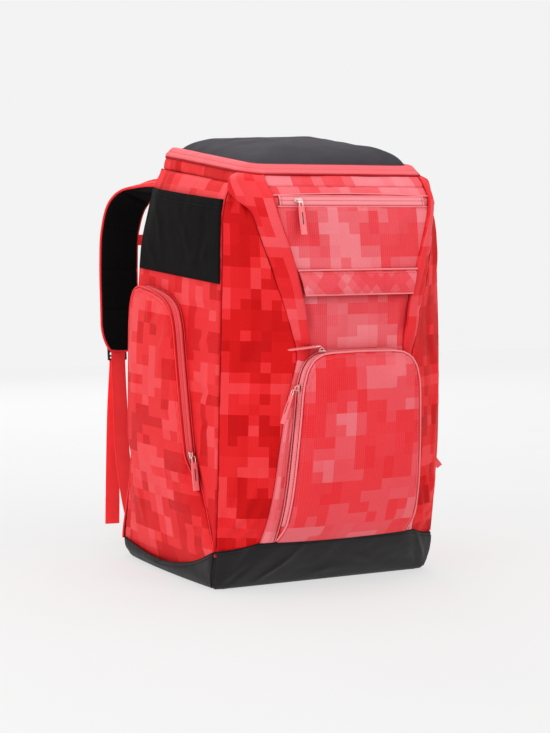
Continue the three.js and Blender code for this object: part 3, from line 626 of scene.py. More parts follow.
def patch_grid(outer, holes):
    """Quads filling a flat outline, the edge points moved onto it.

    Returns points (n, 2), faces and each point's distance from the outline."""
    step = PATCH_STEP
    low, high = outer.min(0) - step, outer.max(0) + step
    nx, ny = ((high - low) / step).astype(int) + 2
    grid_x, grid_y = np.meshgrid(low[0] + step * np.arange(nx), low[1] + step * np.arange(ny))
    points = np.column_stack([grid_x.ravel(), grid_y.ravel()])
    within = inside(points, outer)
    gap, near, _ = poly_distance(points, outer)
    for hole in holes:
        within &= ~inside(points, hole)
        hole_gap, hole_near, _ = poly_distance(points, hole)
        closer = hole_gap < gap
        gap[closer], near[closer] = hole_gap[closer], hole_near[closer]
    snap = (~within & (gap < step * 1.45)) | (within & (gap < step * 0.34))
    points[snap] = near[snap]
    index = np.arange(nx * ny).reshape(ny, nx)
    quads = np.stack([index[:-1, :-1], index[:-1, 1:], index[1:, 1:], index[1:, :-1]], -1)
    quads = quads.reshape(-1, 4)
    usable = (within | snap)[quads].all(1)
    has_core = (within & ~snap)[quads].any(1)
    keep = usable & has_core
    # quads with every corner on an outline are kept when their middle is inside
    rest = np.nonzero(usable & ~has_core)[0]
    middle = points[quads[rest]].mean(1)
    good = inside(middle, outer)
    middle_gap = poly_distance(middle, outer)[0]
    for hole in holes:
        good &= ~inside(middle, hole)
        middle_gap = np.minimum(middle_gap, poly_distance(middle, hole)[0])
    keep[rest[good & (middle_gap > 0.15 * step)]] = True
    quads = quads[keep]
    used = np.unique(quads)
    renumber = np.full(len(points), -1)
    renumber[used] = np.arange(len(used))
    return points[used], renumber[quads], np.where(snap, 0, gap)[used]


def patch(name, surface, outer, lift, mat, holes=(), flip=False, uv_shift=0):
    """Cloth patch on a surface; lift(across, level) gives its height off it."""
    points, faces, gap = patch_grid(outer, holes)
    # the rows next to the edge relax towards even quads
    starts, ends = faces.ravel(), np.roll(faces, -1, axis=1).ravel()
    relaxed = (gap > 0) & (gap < PATCH_STEP * 3)
    for _ in range(2):
        total, count = np.zeros_like(points), np.zeros((len(points), 1))
        for here, there in ((starts, ends), (ends, starts)):
            np.add.at(total, here, points[there])
            np.add.at(count, here, 1)
        points[relaxed] = (total / count * 0.5 + points * 0.5)[relaxed]
    verts = on(surface, points, lift(points[:, 0], points[:, 1]))
    uv = (points + (uv_shift, 0)) / 1000.0
    obj = mesh_object(name, verts, faces[:, ::-1] if flip else faces, mat, uv)
    return weld(obj, 0.02)


def rounded_path(points, count):
    """Open path with its corners cut, resampled."""
    points = np.asarray(points, float)
    out = [points[0]]
    for a, b in zip(points[:-1], points[1:]):
        out += [a + 0.2 * (b - a), a + 0.8 * (b - a)]
    out.append(points[-1])
    return resample(np.array(out), count)


def path_normals(path):
    """Left-hand normals of an open 2-D path."""
    tangent = unit(np.gradient(path, axis=0))
    return np.column_stack([-tangent[:, 1], tangent[:, 0]])


def edge_heights(table):
    """Function of (across, level) giving the height of the nearest place on an edge table."""
    values = table[:, 2]

    def lookup(points):
        part = poly_distance(points, table[:, :2], closed=False)[2]
        i = np.clip(part.astype(int), 0, len(values) - 2)
        return values[i] + (values[i + 1] - values[i]) * (part - i)

    return lookup


def wall_strip(name, surface, path, profile, mat, scale):
    """Closed strip along a flat path: profile rows (out, off), off scaled at each point."""
    out, off = np.asarray(profile, float).T
    points = path[:, None] + path_normals(path)[:, None] * out[:, None]
    rings = surface(points[..., 0], points[..., 1], off * scale[:, None])
    return loft(name, rings, mat, uv_grid(off + out * 0.3, arc_length(path)[:, None]))


# ------------------------------------------------------------------ materials
def srgb(*rgb):
    linear = [c / 12.92 if c <= 0.04045 else ((c + 0.055) / 1.055) ** 2.4
              for c in (v / 255.0 for v in rgb)]
    return (*linear, 1.0)


GAIN = 0.88  # how much of a base colour the studio light gives back
HAZE = 0.006  # light added by reflections


def lit(*rgb):
    """Base colour that reads as the given sRGB colour under the studio light."""
    return tuple(min(0.97, max(0.0004, (v - HAZE) / GAIN)) for v in srgb(*rgb)[:3]) + (1.0,)


class Graph:
    """Material built from node expressions, ending in a Principled shader."""

    SOCKETS = {"color": "Base Color", "rough": "Roughness", "metal": "Metallic",
               "sheen": "Sheen Weight", "sheen_rough": "Sheen Roughness",
               "spec": "Specular IOR Level", "normal": "Normal", "coat": "Coat Weight",
               "coat_rough": "Coat Roughness", "glow": "Emission Color",
               "glow_strength": "Emission Strength"}

    def __init__(self, name, **values):
        self.mat = bpy.data.materials.new(name)
        self.mat.use_nodes = True
        self.tree = self.mat.node_tree
        self.tree.nodes.clear()
        output = self.tree.nodes.new("ShaderNodeOutputMaterial")
        self.shader = self.tree.nodes.new("ShaderNodeBsdfPrincipled")
        self.tree.links.new(self.shader.outputs[0], output.inputs[0])
        self.set(**values)

    def set(self, **values):
        """Sets shader inputs and returns the material."""
        for key, value in values.items():
            self.plug(self.shader.inputs[self.SOCKETS[key]], value)
        return self.mat

    def plug(self, socket, value):
        if isinstance(value, bpy.types.NodeSocket):
            self.tree.links.new(value, socket)
        elif value is not None:
            socket.default_value = value

    def node(self, kind, inputs=(), out=0, **props):
        node = self.tree.nodes.new(kind)
        for key, value in props.items():
            setattr(node, key, value)
        for key, value in inputs.items() if isinstance(inputs, dict) else enumerate(inputs):
            self.plug(node.inputs[key], value)
        return node.outputs[out]

    def math(self, operation, *values, clamp=False):
        return self.node("ShaderNodeMath", values, operation=operation, use_clamp=clamp)

    add = partialmethod(math, "ADD")
    sub = partialmethod(math, "SUBTRACT")
    mul = partialmethod(math, "MULTIPLY")
    div = partialmethod(math, "DIVIDE")
    sine = partialmethod(math, "SINE")

    def wave(self, x, pitch):
        return self.sine(self.mul(x, 2 * math.pi / pitch))

    def raised(self, wave, scale=0.5):
        """Wave moved up to start at 0, then scaled."""
        return self.mul(self.add(wave, 1.0), scale)

    def uv(self):
        return self.node("ShaderNodeUVMap", uv_map="cloth")

    def obj(self):
        return self.node("ShaderNodeTexCoord", out=3)

    def split(self, vector):
        outputs = self.node("ShaderNodeSeparateXYZ", [vector]).node.outputs
        return outputs[0], outputs[1], outputs[2]

    def join(self, x, y, z=0.0):
        return self.node("ShaderNodeCombineXYZ", [x, y, z])

    def noise(self, vector, scale, detail=2.0, rough=0.5):
        return self.node("ShaderNodeTexNoise", {"Vector": vector, "Scale": scale,
                                                "Detail": detail, "Roughness": rough})

    def mix(self, fac, a, b, mode="MIX"):
        return self.node("ShaderNodeMix", {0: fac, 6: a, 7: b}, out=2,
                         data_type="RGBA", blend_type=mode)

    def tint(self, color, factor):
        return self.mix(1.0, color, factor, "MULTIPLY")

    def ramp(self, fac, *stops):
        """Stops are (position, colour); a single number is a grey."""
        out = self.node("ShaderNodeValToRGB", [fac])
        elements = out.node.color_ramp.elements
        while len(elements) < len(stops):
            elements.new(0.5)
        for element, (position, color) in zip(elements, stops):
            color = (color,) * 3 if isinstance(color, float) else color
            element.position = position
            element.color = color if len(color) == 4 else (*color, 1)
        return out

    def bump(self, relief, strength, dist, normal=None):
        return self.node("ShaderNodeBump", {"Strength": strength, "Distance": dist,
                                            "Height": relief, "Normal": normal})

    def line(self, x, pitch, width):
        """1 near each multiple of pitch, 0 elsewhere."""
        gap = self.math("ABSOLUTE", self.sub(self.math("FRACT", self.div(x, pitch)), 0.5))
        band = self.mul(self.math("GREATER_THAN", gap, 0.5 - width / 2), 1.0)
        return self.math("SMOOTH_MIN", band, 1.0, 0.01)

    def ao(self, dist):
        return self.node("ShaderNodeAmbientOcclusion", {"Distance": dist}, out="AO", samples=4)


def camo_cloth(name, *tones, cell=0.0150, seed=0.0, angle=0.0, bias=0.0, aspect=1.0):
    """Printed blocks on ripstop: overlapping rectangles on one grid of cells (metres).

    tones = four sRGB colours, darkest first; bias > 0 makes more of the cloth light."""
    tones = [lit(*tone) for tone in tones]
    rough = 0.62
    g = Graph(name, rough=rough, spec=0.10, sheen=0.02, sheen_rough=0.5)
    uv = g.uv()
    print_uv = uv
    if angle:
        print_uv = g.node("ShaderNodeVectorRotate", {"Vector": uv, "Angle": math.radians(angle)},
                          rotation_type="Z_AXIS")
    x, y, _ = g.split(print_uv)
    if aspect != 1.0:
        x = g.div(x, aspect)
    x = g.add(x, 3.0 + 0.31 * seed)
    y = g.add(y, 3.0 + 0.17 * seed)

    def cells(coord, size):
        return g.math("FLOOR", g.div(coord, size * cell))

    def blocks(size_x, size_y, scale_x, scale_y, off):
        """Noise that is constant over each block of cells."""
        cell_x, cell_y = cells(x, size_x), cells(y, size_y)
        point = g.join(g.mul(cell_x, scale_x), g.mul(cell_y, scale_y), off + seed)
        return g.noise(point, scale=1.0, detail=1.0, rough=0.4)

    def scattered(size_x, size_y, shift_x, shift_y, share, weight, layer):
        """Adds weight to a random share of the blocks."""
        cell_x = cells(g.add(x, shift_x * cell), size_x)
        cell_y = cells(g.add(y, shift_y * cell), size_y)
        value = g.node("ShaderNodeTexWhiteNoise",
                       {"Vector": g.join(cell_x, cell_y, 11.0 * layer + seed)},
                       out="Value", noise_dimensions="3D")
        return g.mul(g.math("LESS_THAN", value, share), weight)

    field = g.add(g.mul(blocks(1, 1, 0.33, 0.28, off=3.7), 0.46),
                  g.add(g.mul(blocks(1, 2, 0.42, 0.55, off=19.1), 0.32),
                        g.mul(blocks(2, 1, 0.6, 0.36, off=31.5), 0.22)))
    # steps of tone: two up from the middle, one down
    tone = g.add(g.mul(g.math("GREATER_THAN", field, 0.468 - bias), 0.34),
                 g.mul(g.math("GREATER_THAN", field, 0.545 - bias), 0.32))
    tone = g.add(g.sub(tone, g.mul(g.math("LESS_THAN", field, 0.405 - bias), 0.16)), 0.22)
    # block size, shift in cells, share, weight
    for args in ((2, 3, 0, 1, 0.30, 0.09), (3, 2, 1, 0, 0.28, -0.09), (1, 2, 0, 0, 0.12, -0.10)):
        # the number of nodes made so far is the layer's random seed
        tone = g.add(scattered(*args, layer=len(g.tree.nodes)), tone)
    color = g.ramp(tone, *zip((0.06, 0.36, 0.62, 0.94), tones))

    # ripstop grid, stronger on dark tones
    across, along, _ = g.split(uv)
    grid = g.math("MAXIMUM", g.line(across, pitch=0.0033, width=0.26),
                  g.mul(g.line(along, pitch=0.0033, width=0.22), 0.6))
    dim = g.sub(1.0, g.mul(tone, 0.85), clamp=True)
    line_color = g.mix(0.75, tones[0], (0.30, 0.0, 0.0, 1))
    color = g.mix(g.mul(g.mul(grid, dim), 0.30), color, line_color)
    # yarn, broad clouds, and painted shade: darker in crevices where ambient occlusion is low
    yarn = g.noise(g.join(g.mul(across, 900.0), g.mul(along, 240.0)), scale=1.0, detail=1.0)
    cloud = g.noise(g.obj(), scale=14.0, detail=3.0)
    color = g.tint(color, g.ramp(yarn, (0.3, (0.965, 0.94, 0.94)), (0.7, (1.0, 1.03, 1.03))))
    color = g.tint(color, g.ramp(cloud, (0.3, (0.97, 0.88, 0.88)), (0.7, (1.0, 1.05, 1.05))))
    color = g.tint(color, g.ramp(g.ao(0.016), (0.30, (0.50, 0.16, 0.16)),
                                 (0.62, (0.86, 0.60, 0.60)), (0.86, (1, 1, 1))))
    weave = g.mul(g.wave(across, 0.00062), g.wave(along, 0.00062))
    crease = g.noise(g.obj(), scale=36.0, detail=4.0, rough=0.55)
    relief = g.add(g.mul(grid, 0.9), g.mul(weave, 0.22))
    normal = g.bump(relief, strength=0.35, dist=0.00022)
    normal = g.bump(crease, strength=0.42, dist=0.0024, normal=normal)
    return g.set(color=color, normal=normal,
                 rough=g.ramp(cloud, (0.3, rough - 0.07), (0.75, rough + 0.08)))


def lining_cloth():
    g = Graph("lining_cloth", rough=0.62, spec=0.3, sheen=0.2)
    rate = 5200.0  # weave, radians per metre
    x, y, z = g.split(g.obj())
    weave = g.mul(g.sine(g.mul(g.add(x, y), rate)), g.sine(g.mul(z, rate)))
    cloud = g.noise(g.obj(), scale=30.0, detail=3.0)
    color = g.mix(cloud, srgb(88, 90, 94), srgb(112, 114, 118))
    return g.set(color=g.mix(g.raised(weave, 0.12), color, srgb(60, 62, 66)),
                 normal=g.bump(g.add(weave, g.mul(cloud, 3.0)), strength=0.3, dist=0.0003))


def coated_cloth():
    g = Graph("coated_base_cloth", spec=0.16, coat=0.03, coat_rough=0.35)
    across, along, _ = g.split(g.uv())
    weave = g.mul(g.wave(g.add(across, along), 0.0014), g.wave(g.sub(across, along), 0.0014))
    cloud = g.noise(g.obj(), scale=22.0, detail=4.0, rough=0.6)
    speck = g.noise(g.obj(), scale=900.0)
    color = g.mix(cloud, srgb(22, 20, 22), srgb(34, 32, 34))
    color = g.mix(g.mul(speck, 0.22), color, srgb(50, 47, 49))
    relief = g.add(g.mul(weave, 0.35), g.mul(cloud, 4.0))
    return g.set(color=color, rough=g.ramp(cloud, (0.3, 0.40), (0.7, 0.55)),
                 normal=g.bump(relief, strength=0.35, dist=0.0004))


def woven(name, base, light, pitch, rough=0.75):
    g = Graph(name, rough=rough, spec=0.08, sheen=0.02, sheen_rough=0.5)
    across, along, _ = g.split(g.uv())
    weave = g.mul(g.wave(across, pitch), g.wave(along, pitch))
    cloud = g.noise(g.obj(), scale=35.0, detail=4.0, rough=0.6)
    fleck = g.noise(g.join(g.mul(across, 1400.0), g.mul(along, 420.0)), scale=1.0)
    color = g.mix(g.raised(weave), base, light)
    color = g.mix(g.mul(fleck, 0.35), color, light)
    color = g.tint(color, g.ramp(cloud, (0.3, 0.88), (0.7, 1.05)))
    relief = g.add(g.mul(weave, 0.5), g.mul(cloud, 2.0))
    return g.set(color=color, normal=g.bump(relief, strength=0.5, dist=0.0004))


def stretch_knit():
    g = Graph("stretch_knit", rough=0.85, spec=0.05, sheen=0.01, sheen_rough=0.5)
    across, along, _ = g.split(g.uv())
    rib = g.wave(across, 0.0013)
    loop = g.sine(g.add(g.mul(along, 2 * math.pi / 0.0010), g.mul(rib, 1.2)))
    cloud = g.noise(g.obj(), scale=40.0, detail=3.0)
    relief = g.add(g.mul(rib, 0.6), g.mul(loop, 0.4))
    color = g.mix(g.raised(relief), srgb(8, 7, 7), srgb(24, 22, 22))
    return g.set(color=g.mix(g.mul(cloud, 0.3), color, srgb(30, 28, 28)),
                 normal=g.bump(g.add(relief, g.mul(cloud, 2.0)), strength=0.45, dist=0.0003))


def spacer_mesh(name, base, light):
    """Mesh with rows of round holes."""
    g = Graph(name, rough=0.85, spec=0.05, sheen=0.01, sheen_rough=0.6)
    x, _, z = g.split(g.obj())
    pitch = 0.0042
    scaled = [g.div(coord, pitch) for coord in (x, z)]
    waves = [g.math("COSINE", g.mul(coord, 2 * math.pi)) for coord in scaled]
    hole = g.mul(g.add(g.mul(*waves), 1.0), 0.5)
    cloud = g.noise(g.obj(), scale=26.0, detail=3.0)
    color = g.mix(g.ramp(hole, (0.35, 1.0), (0.72, 0.0)), srgb(7, 7, 8), srgb(*light))
    color = g.mix(g.mul(cloud, 0.4), color, srgb(*base))
    relief = g.sub(g.mul(cloud, 0.8), hole)
    return g.set(color=color, normal=g.bump(relief, strength=0.6, dist=0.0007))


def webbing(name, base, dark, **glow):
    """Chevron webbing."""
    g = Graph(name, rough=0.62, spec=0.12, sheen=0.02, **glow)
    across, along, _ = g.split(g.uv())
    chevron = 0.0062
    zigzag = g.math("ABSOLUTE", g.sub(g.math("FRACT", g.div(across, chevron)), 0.5))
    rows = g.wave(g.add(along, g.mul(zigzag, chevron)), 0.0016)
    relief = g.add(g.mul(rows, 0.6), g.mul(g.wave(across, 0.0011), 0.3))
    cloud = g.noise(g.obj(), scale=60.0, detail=3.0)
    color = g.mix(g.raised(relief), dark, base)
    color = g.tint(color, g.ramp(cloud, (0.3, 0.92), (0.7, 1.05)))
    return g.set(color=color, normal=g.bump(relief, strength=0.5, dist=0.00035))


def laminate(name, base, dark, rough=0.42):
    """Laminated tape, from two sRGB colours."""
    g = Graph(name, rough=rough, spec=0.16, coat=0.02, coat_rough=0.3)
    _, along, _ = g.split(g.uv())
    cloud = g.noise(g.obj(), scale=50.0, detail=3.0)
    color = g.mix(g.mul(cloud, 0.5), lit(*base), lit(*dark))
    # painted shade: the tape is darker in crevices where ambient occlusion is low
    color = g.tint(color, g.ramp(g.ao(0.010), (0.25, (0.55, 0.22, 0.22)),
                                 (0.55, (0.88, 0.68, 0.68)), (0.80, (1, 1, 1))))
    relief = g.add(g.mul(g.wave(along, 0.0014), 0.25), cloud)
    return g.set(color=color, normal=g.bump(relief, strength=0.25, dist=0.0003))


def plain(name, base, light, rough, metal=0.0, scale=300.0, spec=0.5):
    """Metal, plastic or sheet, from two sRGB colours."""
    g = Graph(name, metal=metal, spec=spec)
    fine = g.noise(g.obj(), scale=scale, detail=3.0)
    broad = g.noise(g.obj(), scale=scale / 12)
    return g.set(color=g.mix(g.mul(g.add(fine, broad), 0.5), srgb(*base), srgb(*light)),
                 rough=g.ramp(fine, (0.3, rough * 0.85), (0.7, rough * 1.15)),
                 normal=g.bump(fine, strength=0.15, dist=0.0002))


def thread(name, base, light):
    g = Graph(name, rough=0.6, spec=0.12, sheen=0.02)
    x, y, z = g.split(g.obj())
    twist = g.wave(g.add(g.add(x, y), z), 0.0007)
    return g.set(color=g.mix(g.raised(twist), base, light),
                 normal=g.bump(twist, strength=0.4, dist=0.0002))


M_SIDE = camo_cloth("camo_side", (206, 30, 34), (222, 38, 42), (236, 54, 58), (241, 80, 84),
                    aspect=1.6)
M_GUSSET = camo_cloth("camo_gusset", (196, 22, 24), (214, 29, 31), (230, 44, 48), (235, 66, 70),
                      seed=5.0, bias=-0.02)
M_FRONT = camo_cloth("camo_front", (234, 70, 78), (233, 86, 94), (233, 106, 114),
                     (236, 130, 137), seed=9.0, bias=0.01, cell=0.0165)
M_POCKET = camo_cloth("camo_pocket", (236, 54, 61), (236, 68, 75), (235, 86, 94),
                      (234, 114, 122), seed=14.0, cell=0.0165)
M_FLAP = camo_cloth("camo_flap", (233, 74, 84), (235, 86, 94), (234, 102, 110), (233, 124, 131),
                    cell=0.0125, seed=2.0, angle=45)
M_RIM = camo_cloth("camo_rim", (204, 28, 30), (224, 42, 45), (236, 56, 58), (241, 76, 78),
                   seed=21.0, aspect=1.4)
M_RIB = camo_cloth("camo_rib", (218, 34, 38), (228, 46, 50), (233, 62, 67), (235, 88, 94),
                   seed=27.0)
M_STRAP_OUT = camo_cloth("strap_cloth", (206, 24, 28), (224, 34, 38), (234, 46, 50),
                         (240, 70, 75), seed=33.0)
M_LINING = lining_cloth()
M_BASE = coated_cloth()
M_LID = woven("lid_weave", lit(44, 40, 44), lit(78, 76, 82), pitch=0.0017, rough=0.72)
M_KNIT = stretch_knit()
M_MESH = spacer_mesh("air_mesh", base=(18, 17, 18), light=(40, 39, 41))
M_STRAP_IN = spacer_mesh("strap_mesh", base=(9, 7, 7), light=(20, 17, 17))
# a faint glow is painted light that brightens the webbing where the bag's body shades it
M_WEB = webbing("webbing_red", lit(252, 64, 66), lit(234, 44, 47),
                glow=(0.82, 0.028, 0.032, 1), glow_strength=0.22)
M_WEB_BLACK = webbing("webbing_black", srgb(38, 37, 38), srgb(14, 13, 14))
M_ZIP = laminate("zip_tape_pale", (237, 144, 150), (233, 122, 129))
M_ZIP_SIDE = laminate("zip_tape_side", (237, 104, 109), (232, 86, 92))
M_PIPE = laminate("piping_pale", (238, 134, 140), (234, 112, 119), rough=0.5)
M_PIPE_RED = laminate("piping_red", (240, 58, 62), (226, 42, 46), rough=0.5)
M_RIM_TAPE = laminate("rim_tape", (229, 103, 109), (222, 80, 87), rough=0.5)
M_PULL = laminate("pull_tape_cloth", (239, 128, 132), (234, 108, 113), rough=0.5)
# painted shadow: dark red tubes stand in for the shade in seam grooves
M_SEAM_SHADOW = laminate("seam_shadow", (176, 20, 28), (140, 10, 16), rough=0.7)
M_TAPE_DARK = woven("tape_dark", srgb(16, 15, 16), srgb(36, 35, 36), pitch=0.0010)
M_PULL_MARK = woven("pull_mark", srgb(40, 36, 38), srgb(66, 60, 62), pitch=0.0008)
M_METAL = plain("slider_metal", (236, 190, 186), (248, 222, 218), rough=0.26, metal=0.85)
M_PLASTIC = plain("buckle_acetal", (18, 17, 18), (30, 29, 30), rough=0.38, scale=700.0,
                  spec=0.35)
M_SHEET = plain("stiff_sheet", (40, 40, 43), (58, 58, 61), rough=0.5, scale=260.0)
M_THREAD = thread("thread_red", lit(206, 30, 36), lit(232, 62, 68))
M_THREAD_PALE = thread("thread_pale", lit(230, 96, 103), lit(238, 134, 140))
M_THREAD_DARK = thread("thread_dark", srgb(14, 13, 14), srgb(42, 41, 42))


# ------------------------------------------------------------------ body panels
SHELL = 1.6  # thickness of the body cloth
TOP_SEAM = 586  # level of the seam under the rim
PANEL_TOP = 585.6

# Opening behind a boot door: (y, level)
DOOR = [(104, 178), (104, 300), (103, 385), (94, 410), (74, 421), (20, 418), (-22, 411),
        (-46, 399), (-60, 375), (-68, 340), (-86.1, 263), (-106, 178)]

# Fold tables: height, width, then (across, level) points; see strokes()
SIDE_FOLDS = [
    (3.0, 6, (-112, 200), (-128, 175), (-148, 140)),
    (-2.6, 8, (-95, 300), (-120, 285), (-160, 290)),
    (3.0, 8, (-80, 350), (-115, 352), (-165, 372)),
    (-2.4, 7, (-100, 245), (-130, 238), (-168, 250)),
    (2.4, 8, (-130, 330), (-142, 270), (-150, 215)),
    (-2.4, 7, (-60, 408), (-100, 404), (-165, 415)),
]
GUSSET_FOLDS = [
    (3.0, 13, (14, 330), (30, 250), (36, 160)),
    (4.2, 7, (62, 165), (40, 112), (12, 84)),
    (3.0, 6, (70, 130), (50, 96), (30, 74)),
    (2.2, 6, (8, 150), (22, 118), (30, 80)),
    (-3.0, 8, (40, 190), (30, 140), (10, 105)),
    (2.8, 12, (10, 560), (25, 500), (30, 430)),
    (-2.8, 12, (66, 420), (50, 350), (30, 300)),
    (4.0, 7, (24, 585), (30, 560), (40, 535)),
    (-3.2, 6, (8, 585), (10, 568), (18, 548)),
]
FRONT_FOLDS = [
    (2.0, 9, (70, 430), (66, 395), (74, 356)),
    (-1.6, 8, (84, 425), (78, 390), (60, 356)),
    (1.2, 12, (30, 432), (26, 400), (34, 360)),
    (1.0, 6, (112, 240), (114, 180), (112, 120)),
]


def skirt_side(part):
    """Top of the base cloth at a fraction of the way from the back to the side seam."""
    return 27 - 12 * np.sin(np.pi * np.minimum(1, part * 1.05)) + 30 * part**5


def base_top_side(y):
    """Level of the base's sewn edge at y on a side."""
    level = np.full_like(y, 40.0)
    for _ in range(3):
        part = (back_y(level) - y) / (back_y(level) - seam_y(level))
        level = skirt_side(np.clip(part, 0, 1))
    return level


def side_folds(sign):
    return strokes(side_map(sign), SIDE_FOLDS) + strokes(gusset_map[sign], GUSSET_FOLDS)


def side_panel(side, sign):
    """Side cloth with the door's opening."""
    surface, folds = side_map(sign), side_folds(sign)
    foot_y = np.linspace(float(back_y(30)) - 1.5, float(seam_y(60)) + 1.0, 40)
    foot = np.column_stack([foot_y, base_top_side(foot_y) - 6])
    up = np.linspace(foot[-1, 1] + 4, 585.5, 90)
    down = np.linspace(585.5, foot[0, 1] + 4, 90)
    outer = np.vstack([foot, np.column_stack([seam_y(up) + 0.9, up]),
                       np.column_stack([back_y(down) - 1.2, down])])

    def lift(y, level):
        edge = poly_distance(np.column_stack([y, level]), outer)[0]
        out = body_relief(surface(y, level), folds, lumps=0.7, seed=3) * smooth01(edge / 16)
        out = out - 2.6 * bell(edge, 2.2) + 1.0 * bell(edge - 5.0, 3.2)
        # seam under the stretch pocket, and the short seam above it
        out = out - 0.9 * bell(level - 440, 1.8)
        short_seam = np.abs(y - (back_y(level) - 40)) + np.where(level > 560, 0, 400)
        out = out - 1.4 * bell(short_seam, 2.0)
        below = np.maximum(0, TOP_SEAM - level)
        out = out + pucker(y, below, pitch=11, reach=9, seed=8) * (level > 556)
        behind = np.maximum(0, y - seam_y(level))
        return out + 0.5 * pucker(level, behind, pitch=15, reach=12, seed=5) - 0.3

    obj = patch("side_cloth_" + side, surface, outer, lift, M_SIDE,
                holes=[rounded_path(DOOR, 90)], flip=(sign < 0))
    finish(lined(obj, SHELL), CAMO, BODY, "side_panel_" + side, "side_upper_" + side)


def gusset(side, sign):
    """Cloth between the side seam and the ridge."""
    surface = gusset_map[sign]
    level = np.concatenate([np.linspace(50, 560, 150), np.linspace(562, PANEL_TOP, 12)])[:, None]
    part = np.concatenate([[0, 0.012, 0.03], np.linspace(0.06, 0.94, 26), [0.97, 0.99, 1.0]])
    width = surface.width(level)
    across = width * part
    rest = width - across
    lift = body_relief(surface(across, level), side_folds(sign), lumps=1.0, seed=11)
    lift = lift + 3.2 * np.sin(np.pi * part) ** 0.8 * smooth01((level - 60) / 60)
    lift = lift * smooth01(np.minimum(across, rest) / 12)
    lift = lift - 2.6 * bell(across, 2.2) + 1.0 * bell(across - 5.0, 3.0) - 1.0 * bell(rest, 2.0)
    beside_rib = smooth01((level - 320) / 60) * (1 - smooth01((level - 530) / 40))
    lift = lift + beside_rib * 4.6 * bell(rest - 1.5, 8.0)
    lift = lift + 0.6 * pucker(level, across, pitch=14, reach=10, seed=21)
    lift = lift + 1.1 * pucker(across, TOP_SEAM - level, pitch=12, reach=12, seed=23)
    obj = grid_object("gusset_cloth_" + side, surface(across, level, lift - 0.2), M_GUSSET,
                      uv_grid(across, level) + (0.4, 0), flip=(sign > 0))
    finish(lined(obj, SHELL), CAMO, BODY, "front_gusset_" + side)


for side, sign in SIDES:
    side_panel(side, sign)
    gusset(side, sign)

for side, sign in SIDES:
    level = np.linspace(64, 584, 240)
    seam = side_map(sign)(seam_y(level), level, -1.5)
    # painted shadow: a dark tube fills the groove of the side seam
    finish(tube("side_seam_" + side, seam, 0.75, M_SEAM_SHADOW, sides=6), CAMO)

# front panel, behind the ribs and the pockets
level = np.linspace(60, PANEL_TOP, 160)[:, None]
part = np.concatenate([[-1, -0.985], np.linspace(-0.965, 0.965, 70), [0.985, 1]])
half = front_x(level) + 6
across = half * part
edge = half - np.abs(across)
folds = strokes(front_map, FRONT_FOLDS, mirror=-1) + strokes(front_map, FRONT_FOLDS)
lift = body_relief(front_map(across, level), folds, lumps=0.8, seed=31) * smooth01(edge / 14)
lift = lift + 0.9 * pucker(across, TOP_SEAM - level, pitch=14, reach=9, seed=33)
lift = lift - 1.6 * bell(edge, 6)
obj = grid_object("front_cloth", front_map(across, level, lift - 0.4), M_FRONT,
                  uv_grid(across, level))
finish(lined(obj, SHELL), CAMO, BODY, "front_panel")

# ------------------------------------------------------------------ rim of the mouth
RIM_FOOT, RIM_TOP = 584.6, 609.2
RIM_COLUMNS = 420
TAPE_COLUMNS = 480


def rim_ring(level, off, count):
    """Level curve of the rim, rounder towards the mouth."""
    part = min(1.0, max(0.0, (level - RIM_FOOT) / 22.0))
    return rim_loop(off, count, level, rounding=0.75 + 2.0 * part**1.3)


rows = []
levels = np.linspace(RIM_FOOT, RIM_TOP, 13)
around = np.linspace(0, 1, RIM_COLUMNS, endpoint=False) * 900
for level in levels:
    ring = rim_ring(level, 0.0, RIM_COLUMNS)
    outward = rim_ring(level, 1.0, RIM_COLUMNS) - ring
    part = (level - RIM_FOOT) / (RIM_TOP - RIM_FOOT)
    # rolls in at the lower seam, has a soft belly above it, then a stitched line under the tape
    off = (-1.4 * bell(level - RIM_FOOT, 1.6)
           + 1.6 * math.sin(math.pi * min(1, part * 1.05)) ** 0.7
           - 0.9 * bell(level - 603.0, 1.1))
    wrinkle = 0.9 * ripple(around / 26, level / 14, 0.0, 41) * math.sin(math.pi * min(1, part))
    wrinkle += 0.7 * np.exp(-part * 2.2) * ripple(around / 9, level / 40, 0.0, 42)
    rows.append(ring + outward * (off + wrinkle)[:, None])
rows = np.array(rows)
obj = grid_object("rim_cloth", rows, M_RIM, uv_grid(arc_length(rows[6]), levels[:, None]),
                  wrap=True)
obj.data.materials.append(M_LINING)
obj.data.materials.append(M_FRONT)
for face in obj.data.polygons:
    # metres: the part over the front panel
    if face.center.y < -0.150 and abs(face.center.x) < 0.128:
        face.material_index = 2
finish(solidify(obj, SHELL), CAMO, BODY, "rim_band")

# tape that rolls over the edge of the mouth, open at the back
TAPE_INSIDE = ((-11.0, 0.6), (-10.6, 2.2), (-8.6, 3.3), (-5.4, 3.9), (-3.0, 3.9), (-0.8, 3.0),
               (0.7, 1.3))  # off, rise above the rim
TAPE_OUTSIDE = ((2.2, 609.2), (2.5, 608.5), (1.9, 607.9), (2.6, 607.3), (3.1, 606.2),
                (3.5, 604.8), (3.4, 603.2), (2.8, 602.1), (1.9, 601.6), (0.7, 602.4),
                (0.7, 604.6), (0.5, 607.6))  # off, level, following the rim's flare
TAPE_UNDER = ((-3.0, 0.5), (-7.0, 0.6))  # off, rise


def above_rim(table):
    return [rim_loop(off, TAPE_COLUMNS) + rise * Z_AXIS for off, rise in table]


outside = [rim_ring(level, off, TAPE_COLUMNS) for off, level in TAPE_OUTSIDE]
lines = np.array(above_rim(TAPE_INSIDE) + outside + above_rim(TAPE_UNDER))
